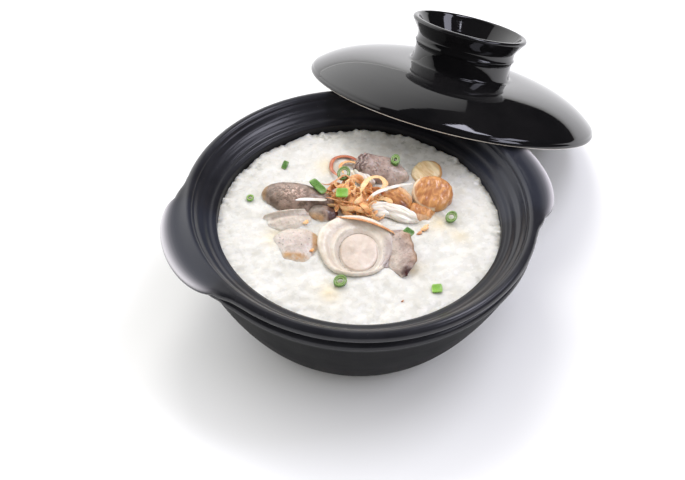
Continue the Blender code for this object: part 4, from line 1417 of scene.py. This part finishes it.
# %% Strip tree
def strip_tree():
    tree, given, result = make_tree(
        "curled_strips", "GeometryNodeTree",
        [("Geometry", "NodeSocketGeometry"), ("Apart", "NodeSocketFloat", 0.0025),
         ("Density", "NodeSocketFloat", 300000.0), ("Curl Radius", "NodeSocketFloat", 0.0045),
         ("Width", "NodeSocketFloat", 0.0022), ("Thickness", "NodeSocketFloat", 0.0006),
         ("Wander", "NodeSocketFloat", 0.003), ("Seed", "NodeSocketInt", 3),
         ("Material", "NodeSocketMaterial")],
        [("Geometry", "NodeSocketGeometry")],
    )
    seed = given["Seed"]

    def chance(low, high, shift):
        node = add(tree, "FunctionNodeRandomValue", {
            2: low, 3: high, "Seed": maths(tree, "ADD", seed, shift)}, data_type="FLOAT")
        return node.outputs[1]

    points = add(tree, "GeometryNodeDistributePointsOnFaces", {
        "Mesh": given["Geometry"], "Distance Min": given["Apart"], "Density Max": given["Density"],
        "Seed": seed,
    }, distribute_method="POISSON")
    turn = add(tree, "ShaderNodeCombineXYZ", {
        0: chance(-0.6, 0.6, 1), 1: chance(-0.6, 0.6, 2), 2: chance(0.0, 2 * pi, 3),
    }).outputs[0]
    curl = add(tree, "GeometryNodeCurveArc", {
        "Resolution": 26, "Radius": given["Curl Radius"], "Start Angle": 0.0, "Sweep Angle": 3.4,
    }, mode="RADIUS")
    placed = add(tree, "GeometryNodeInstanceOnPoints", {
        "Points": points.outputs["Points"], "Instance": curl.outputs["Curve"],
        "Rotation": add(tree, "FunctionNodeEulerToRotation", {0: turn}).outputs[0],
        "Scale": add(tree, "ShaderNodeCombineXYZ", {
            0: chance(0.55, 1.5, 4), 1: chance(0.5, 1.25, 5), 2: 1.0}).outputs[0],
    })
    marked = add(tree, "GeometryNodeStoreNamedAttribute", {
        "Geometry": placed.outputs[0], "Name": "fried", "Value": chance(0.0, 1.0, 6),
    }, data_type="FLOAT", domain="INSTANCE")
    real = add(tree, "GeometryNodeRealizeInstances", {"Geometry": marked.outputs[0]})
    cloud = add(tree, "ShaderNodeTexNoise", {
        "Vector": add(tree, "GeometryNodeInputPosition").outputs[0], "Scale": 160.0, "Detail": 1.0,
    }).outputs["Color"]
    centred = add(tree, "ShaderNodeVectorMath", {
        0: cloud, 1: (0.5, 0.5, 0.5),
    }, operation="SUBTRACT").outputs[0]
    offset = add(tree, "ShaderNodeVectorMath", {
        0: centred, "Scale": given["Wander"],
    }, operation="SCALE").outputs[0]
    bent = add(tree, "GeometryNodeSetPosition", {"Geometry": real.outputs[0], "Offset": offset})
    along = add(tree, "GeometryNodeSplineParameter").outputs["Factor"]
    fried = add(tree, "GeometryNodeInputNamedAttribute", {"Name": "fried"}, data_type="FLOAT").outputs[0]
    twist = maths(tree, "ADD", maths(tree, "MULTIPLY", fried, 9.0), maths(tree, "MULTIPLY", along, 1.1))
    tilted = add(tree, "GeometryNodeSetCurveTilt", {"Curve": bent.outputs[0], "Tilt": twist})
    ends = maths(tree, "MULTIPLY", maths(tree, "MULTIPLY", along, maths(tree, "SUBTRACT", 1.0, along)), 4.0)
    taper = add(tree, "ShaderNodeMapRange", {"Value": ends, "From Max": 0.45, "To Min": 0.35}).outputs[0]
    ring = add(tree, "GeometryNodeCurvePrimitiveCircle", {"Resolution": 10, "Radius": 0.5})
    section = add(tree, "ShaderNodeCombineXYZ", {0: given["Width"], 1: given["Thickness"], 2: 1.0}).outputs[0]
    flat = add(tree, "GeometryNodeTransform", {"Geometry": ring.outputs["Curve"], "Scale": section})
    shaped = add(tree, "GeometryNodeCurveToMesh", {
        "Curve": tilted.outputs[0], "Profile Curve": flat.outputs[0], "Scale": taper, "Fill Caps": True,
    }).outputs[0]
    return finish_tree(tree, shaped, given, result, ("GeometryNodeSetShadeSmooth", {}))


STRIPS = strip_tree()
print("strip tree:", len(STRIPS.nodes), "nodes")

# %% [markdown]
# The core and the bed that the strips grow on have one outline, so that the strips hug the core. The
# bed is a little larger and coarser, and only its strips are kept.

# %% Shallot heap
HEAP_WAVES = ((2, 0.08, 30), (3, 0.08, 75), (7, 0.06, 0))
HEAP_TURN, HEAP_TIP = -50, 4


def make_core():
    core = lump("shallot_core", (25.0, 17.5, 10.5), HEAP_WAVES)
    store(core.data, "fried", np.full(len(core.data.vertices), 0.8))
    core = bake(core, RELIEF, Swell_Size=0.005, Swell_Height=0.0016, Grain_Size=0.002,
                Grain_Height=0.0012, Material=SHALLOT)
    return settle(lay(core, (3.0, 13.2, 58.0), HEAP_TURN, HEAP_TIP), "fried_shallot", "shallots")


def make_strips():
    heap = lump("shallot_strips", (27.5, 18.5, 12.0), HEAP_WAVES, sections=40, levels=24)
    lay(heap, (3.0, 13.2, 58.4), HEAP_TURN, HEAP_TIP)
    strips = bake(heap, STRIPS, Apart=0.0033, Density=400000.0, Curl_Radius=0.0048, Width=0.0030,
                  Thickness=0.0007, Wander=0.003, Seed=4, Material=SHALLOT)
    return settle(strips, "fried_shallot")


make_core()
make_strips()

# %% [markdown]
# ## Threads and single curls
# Some pieces are one bent strip each: thin white threads of meat, single fried shallot strips, an
# orange strip along the slice. They follow a few points in space, with a flat section that thins
# towards both ends.

# %% Ribbons
RIBBON_STEPS, RIBBON_SIDES = 12, 10


def ribbon(name, path, width, thickness, look, slot, upright=0.0, blunt=0.35, fried=0.5):
    """A flat strip through the points of path (mm). upright 0 lies flat, 1 stands on its edge."""
    line = [Vector(p) * MM for p in smooth_through([tuple(p) for p in path], RIBBON_STEPS)]
    rings = []
    for i, spot in enumerate(line):
        ahead = (line[min(i + 1, len(line) - 1)] - line[max(i - 1, 0)]).normalized()
        side = ahead.cross(Vector((0, 0, 1))).normalized()
        lift = side.cross(ahead).normalized()
        wide = side * cos(upright * pi / 2) + lift * sin(upright * pi / 2)
        thin = ahead.cross(wide)
        t = i / (len(line) - 1)
        share = blunt + (1 - blunt) * ease(min(t, 1 - t), 0, 0.25)
        share *= 1 + 0.16 * noise.noise((9 * t, width, 2.0))
        rings.append([
            spot + wide * (width * MM / 2 * share * cos(2 * pi * k / RIBBON_SIDES))
            + thin * (thickness * MM / 2 * share * sin(2 * pi * k / RIBBON_SIDES))
            for k in range(RIBBON_SIDES)
        ])
    piece = skin(name, rings, line[0], line[-1])
    mesh = piece.data
    mesh.shade_smooth()
    mesh.materials.append(look)
    store(mesh, "fried", np.full(len(mesh.vertices), fried))
    return settle(outward(piece), slot)


def outward(piece):
    """Turns a piece the right way out: a closed piece has a positive volume when its faces look out."""
    mesh = piece.data
    mesh.calc_loop_triangles()
    corners = [[mesh.vertices[i].co for i in t.vertices] for t in mesh.loop_triangles]
    if sum(a.dot(b.cross(c)) for a, b, c in corners) < 0:
        mesh.flip_normals()
    return piece


print("ribbons have", RIBBON_SIDES, "sides and", RIBBON_STEPS, "steps to a span")

# %% Single strips
def over(x, y, z):
    """The point at height z that the eye sees over (x, y) at the congee's level, all in mm."""
    back = z - 57
    return (x + back * cos(radians(TIP_BEARING)), y + back * sin(radians(TIP_BEARING)), z)


# (name, whether its places are moved by over, its places in mm, width, thickness, look, slot, form)
SINGLE_STRIPS = (
    ("white_thread_heap", False, ((6.5, 7.0, 63.5), (12.5, 9.8, 64.8), (18.8, 11.4, 64.6), (27.0, 12.8, 63.6),
                                  (35.2, 13.7, 62.0)), 2.4, 0.8, WHITE_MEAT, "white_meat", {}),
    ("white_thread_dark", True, ((-27.5, 24.9, 64.7), (-22.0, 23.8, 64.4), (-15.0, 21.4, 63.0),
                                 (-11.5, 20.2, 61.9)), 2.4, 0.7, WHITE_MEAT, "white_meat", {}),
    ("white_thread_front", True, ((9.0, -11.4, 60.2), (13.0, -15.4, 59.6), (17.4, -20.4, 58.8),
                                  (20.6, -25.4, 57.8)), 1.4, 0.6, WHITE_MEAT, "white_meat", {}),
    ("orange_strip", True, ((-10.6, 6.4, 63.0), (-6.6, 4.1, 63.8), (0.5, 0.5, 64.0), (7.5, -5.5, 63.8),
                            (13.0, -12.4, 62.6), (14.5, -15.5, 61.2)), 2.3, 0.9, SHALLOT, "fried_shallot",
     {"upright": 0.3, "fried": 0.9}),
    ("shallot_tail_peach", False, ((4.5, 12.6, 64.0), (8.2, 17.6, 64.4), (13.5, 22.2, 64.4),
                                   (19.4, 22.4, 63.4), (21.0, 17.6, 62.6), (16.4, 13.2, 62.6)),
     3.6, 0.7, SHALLOT, "fried_shallot", {"upright": 0.2, "fried": 0.05}),
    ("shallot_tail_red", False, ((-13.3, 27.3, 63.6), (-9.7, 23.2, 65.4), (-4.5, 24.6, 66.2),
                                 (1.0, 27.8, 65.2), (3.6, 23.5, 65.4), (2.6, 19.9, 65.8)),
     1.7, 0.8, SHALLOT, "fried_shallot", {"upright": 0.3, "fried": 0.93}),
    ("shallot_tail_brown", False, ((-13.0, 17.0, 62.6), (-8.0, 11.6, 63.6), (-1.0, 7.4, 63.4),
                                   (5.0, 2.4, 62.0)), 2.0, 0.8, SHALLOT, "fried_shallot",
     {"upright": 0.35, "fried": 0.9}),
)
for name, moved, path, width, thickness, look, slot, form in SINGLE_STRIPS:
    ribbon(name, [over(*p) for p in path] if moved else path, width, thickness, look, slot, **form)

# %% [markdown]
# ## The mantle fringe
# The mantle hangs from the edge of the muscle as a thick, soft band. Beside the slice it stands up on
# its own, so it is a ribbon too, only wide and blunt. Its masks are stored again from where each
# point is across the band, because a ribbon's own coordinates don't follow its width.

# %% Mantle fringe
def make_fringe():
    """The mantle standing up beside the slice, with an olive outer edge and a black tip."""
    path = [(10.0, -15.2, 59.8), (11.6, -20.4, 60.0), (12.4, -26.8, 59.6), (11.6, -33.4, 58.9),
            (9.8, -39.6, 58.1), (8.6, -46.0, 57.0)]
    fringe = ribbon("abalone_fringe", path, 15.5, 2.4, GREY_MANTLE, "abalone", upright=-0.20, blunt=0.22)
    mesh = fringe.data
    points = read_points(mesh) / MM
    line = np.array(smooth_through(path, RIBBON_STEPS))
    gaps = np.hypot(points[:, None, 0] - line[None, :, 0], points[:, None, 1] - line[None, :, 1])
    nearest = gaps.argmin(axis=1)
    outer = points[:, 0] - line[nearest, 0]
    store(mesh, "local", points * MM)
    store(mesh, "tan", np.clip((outer - 5.2) / 1.2, 0, 1) * 0.6)
    store(mesh, "pale", np.clip((3.0 - outer) / 6, 0, 1) * 0.5)
    store(mesh, "freckled", np.clip(outer / 6, 0, 0.4))
    tip = np.hypot((points[:, 0] - 10.2) / 2.4, (points[:, 1] + 44.0) / 2.6)
    store(mesh, "burnt", np.clip((1.4 - tip) * 2, 0, 1))
    return fringe


make_fringe()

# %% [markdown]
# ## Spring onion
# A spring onion leaf is a tube in layers. Cut across, it gives small rings with a pale, wet inside;
# cut long, it gives green chips. The green is deepest outside and pales towards the middle, so the
# colour follows the layer and not the position.

# %% Spring onion finish
def onion_finish():
    leaf = Finish("spring_onion", Subsurface_Weight=0.2, Subsurface_Scale=0.001, Coat_Weight=0.35,
                  Coat_Roughness=0.15)
    leaf.shader.inputs["Subsurface Radius"].default_value = (0.5, 1.0, 0.2)
    local = leaf.attribute("local", "Vector")
    veins = add(leaf.tree, "ShaderNodeMapping", {"Vector": local, "Scale": (1.0, 1.0, 0.15)}).outputs[0]
    streaks = leaf.group(BLOTCHES, Vector=veins, Scale=1300.0, Cover=0.5, Softness=0.2)
    fresh = leaf.attribute("fresh")
    outside = leaf.mix(fresh, (0.030, 0.100, 0.016), (0.22, 0.45, 0.05))
    inside = leaf.mix(fresh, (0.33, 0.44, 0.19), (0.52, 0.66, 0.22))
    colour = leaf.mix(leaf.attribute("heart"), outside, inside)
    colour = leaf.mix(leaf.maths("MULTIPLY", streaks, 0.35), colour, (0.16, 0.33, 0.07))
    patches = leaf.group(BLOTCHES, Vector=local, Scale=420.0, Cover=0.42, Softness=0.12)
    colour = leaf.mix(leaf.maths("MULTIPLY", patches, 0.28), colour, (0.40, 0.52, 0.22))
    bumps = leaf.bump(streaks, 0.00012, 0.5)
    return leaf.set(Base_Color=colour, Roughness=leaf.range(streaks, 0, 1, 0.25, 0.42), Normal=bumps)


ONION = onion_finish()
print("spring onion finish:", len(ONION.node_tree.nodes), "nodes")

# %% [markdown]
# A ring is an open tube with a real wall, and some hold a second, smaller tube. A chip is a flat lump
# that is squarer than the other food and slightly cupped, as a cut leaf is.

# %% Spring onion shapes
ONION_SIDES, ONION_ROWS = 40, 6


def tube(outer, inner, height, squash, sides=ONION_SIDES):
    """Rings of a short open tube: up the outside, over the top, down the inside and closed below."""
    section = []
    for i in range(ONION_ROWS + 1):
        section.append((outer - 0.06 * cos(pi * i / ONION_ROWS) ** 8, -height / 2 + height * i / ONION_ROWS))
    for i in range(ONION_ROWS + 1):
        section.append((inner + 0.05 * cos(pi * i / ONION_ROWS) ** 8, height / 2 - height * i / ONION_ROWS))
    rows = []
    for r, z in section:
        rows.append([
            (r * cos(2 * pi * k / sides) * (1 + 0.04 * sin(4 * pi * k / sides)),
             r * squash * sin(2 * pi * k / sides), z)
            for k in range(sides)
        ])
    return rows


def onion_ring(name, spot, size=2.6, wall=0.8, height=2.4, turn=0.0, tip=20.0, squash=0.85, fresh=0.4,
               core=False):
    """A ring of spring onion, with a second ring inside it if it has a core. Sizes in mm."""
    points, faces, heart = [], [], []
    shells = [(size, size - wall, height)]
    if core:
        shells.append((size - wall - 0.25, size - 2.0 * wall, height * 0.9))
    for number, (outer, inner, tall) in enumerate(shells):
        rows = tube(outer, max(inner, 0.25), tall, squash)
        start, sides = len(points), ONION_SIDES
        for j, row in enumerate(rows):
            points += row
            heart += [min(1.0, 0.15 * number + (0.9 if j > ONION_ROWS else 0.0) + 0.5 * number)] * sides
        for j in range(len(rows)):
            for k in range(sides):
                one, two = j * sides, ((j + 1) % len(rows)) * sides
                l = (k + 1) % sides
                faces.append(tuple(start + v for v in (one + k, one + l, two + l, two + k)))
    mesh = bpy.data.meshes.new(name)
    mesh.from_pydata([(x * MM, y * MM, z * MM) for x, y, z in points], [], faces)
    mesh.update()
    store(mesh, "local", [(x * MM, y * MM, z * MM) for x, y, z in points])
    store(mesh, "heart", heart)
    store(mesh, "fresh", np.full(len(points), fresh))
    mesh.shade_smooth()
    mesh.materials.append(ONION)
    return settle(lay(outward(link_object(name, mesh)), spot, turn, tip), "spring_onion")


def onion_chip(name, spot, size, turn=0.0, tip=12.0, fresh=0.4):
    """A flat, slightly cupped cut of leaf. size is (long, wide, thick) in mm."""
    piece = lump(name, size, ((2, 0.03, 30),), flat=5.0, crown=3.0, sections=64, levels=24)
    x, y, z = local_points(piece).T
    points = read_points(piece.data)
    points[:, 2] += 0.10 * y * y * MM
    write_points(piece.data, points)
    store(piece.data, "heart", np.clip(np.abs(x) / (size[0] / 2) - 0.75, 0, 0.25) * 2.4)
    store(piece.data, "fresh", np.full(len(points), fresh))
    piece.data.shade_smooth()
    piece.data.materials.append(ONION)
    return settle(lay(piece, spot, turn, tip), "spring_onion")


print("a ring has", ONION_SIDES, "sides")

# %% Spring onion pieces
onion_chip("onion_far_left", over(-24.6, 53.7, 56.8), (5.6, 3.2, 1.4), 52, fresh=0.10)
onion_ring("onion_left", over(-50.6, 34.2, 56.7), 2.1, 0.8, 1.8, fresh=0.75)
onion_chip("onion_long", over(-12.8, 31.4, 64.5), (11.0, 4.6, 2.0), -70, 10, fresh=0.25)
onion_chip("onion_bright", over(-2.1, 22.3, 66.2), (6.6, 5.6, 2.2), -20, 18, fresh=0.95)
onion_ring("onion_heap", over(3.9, 37.0, 65.0), 4.0, 0.9, 2.6, 30, 30, fresh=0.10, core=True)
onion_ring("onion_grey", over(34.5, 38.6, 64.6), 3.4, 1.0, 2.4, 60, 12, 0.75, fresh=0.12, core=True)
onion_ring("onion_right", over(48.0, -12.2, 58.2), 3.4, 0.9, 2.6, 15, 30, fresh=0.30, core=True)
onion_chip("onion_dark", over(21.9, -16.0, 62.0), (5.6, 4.0, 1.8), -58, 14, fresh=0.12)
onion_ring("onion_front", over(-24.2, -39.0, 58.0), 3.6, 1.0, 2.6, 0, 24, fresh=0.35, core=True)
onion_chip("onion_lime", over(21.5, -59.4, 56.1), (5.6, 5.2, 1.6), -15, 10, fresh=1.0)

# %% [markdown]
# ## Small things
# The last pieces are single: a pink loop of shallot with a fried one inside it, and crumbs round the
# heap. They are small, but without them the bowl looks arranged by a machine.

# %% Curl and crumbs
def pink_finish():
    raw = Finish("shallot_skin", Subsurface_Weight=0.2, Subsurface_Scale=0.001, Coat_Weight=0.4,
                 Coat_Roughness=0.2)
    cloud = raw.group(BLOTCHES, Vector=raw.position(), Scale=300.0, Cover=0.5, Softness=0.2)
    colour = raw.mix(cloud, (0.58, 0.21, 0.09), (0.36, 0.075, 0.05))
    colour = raw.mix(raw.range(raw.attribute("fried"), 0.3, 0.8), colour, (0.70, 0.30, 0.10))
    return raw.set(Base_Color=colour, Roughness=raw.range(cloud, 0, 1, 0.3, 0.45))


PINK = pink_finish()
ribbon("shallot_curl", [over(*p) for p in (
    (1.0, 35.0, 60.5), (-1.2, 43.0, 57.6), (3.0, 50.5, 56.8), (10.5, 50.2, 56.8), (15.0, 44.0, 58.6),
    (12.5, 38.5, 61.0))], 2.3, 0.9, PINK, "fried_shallot", upright=0.15, fried=0.2)
ribbon("shallot_curl_inner", [over(*p) for p in (
    (4.0, 37.5, 61.0), (4.4, 44.0, 57.8), (9.5, 46.0, 57.4), (15.5, 41.5, 59.6), (19.0, 35.5, 61.6))],
       2.2, 0.8, SHALLOT, "fried_shallot", upright=0.15, fried=0.55)

CRUMBS = (
    ("crumb_left", (-31.0, -13.4, 58.5), (2.6, 1.8, 1.2), 0.8),
    ("crumb_mid", (-27.5, 7.5, 57.8), (3.4, 2.2, 1.4), 0.2),
    ("crumb_right", (31.6, -15.9, 56.9), (5.4, 2.8, 1.8), 0.3),
    ("crumb_right_red", (27.6, -18.4, 56.8), (3.4, 1.8, 1.4), 0.9),
    ("crumb_dark", (1.7, -61.8, 55.6), (1.9, 0.8, 0.7), 1.0),
)
for name, (x, y, z), size, fried in CRUMBS:
    crumb = lump(name, size, ((3, 0.12, 0), (5, 0.10, 50)), sections=40, levels=24)
    store(crumb.data, "fried", np.full(len(crumb.data.vertices), fried))
    crumb = bake(crumb, RELIEF, Swell_Size=0.002, Swell_Height=0.0005, Grain_Size=0.001,
                 Grain_Height=0.0002, Material=SHALLOT)
    settle(lay(crumb, over(x, y, z), 30, 10), "fried_shallot")
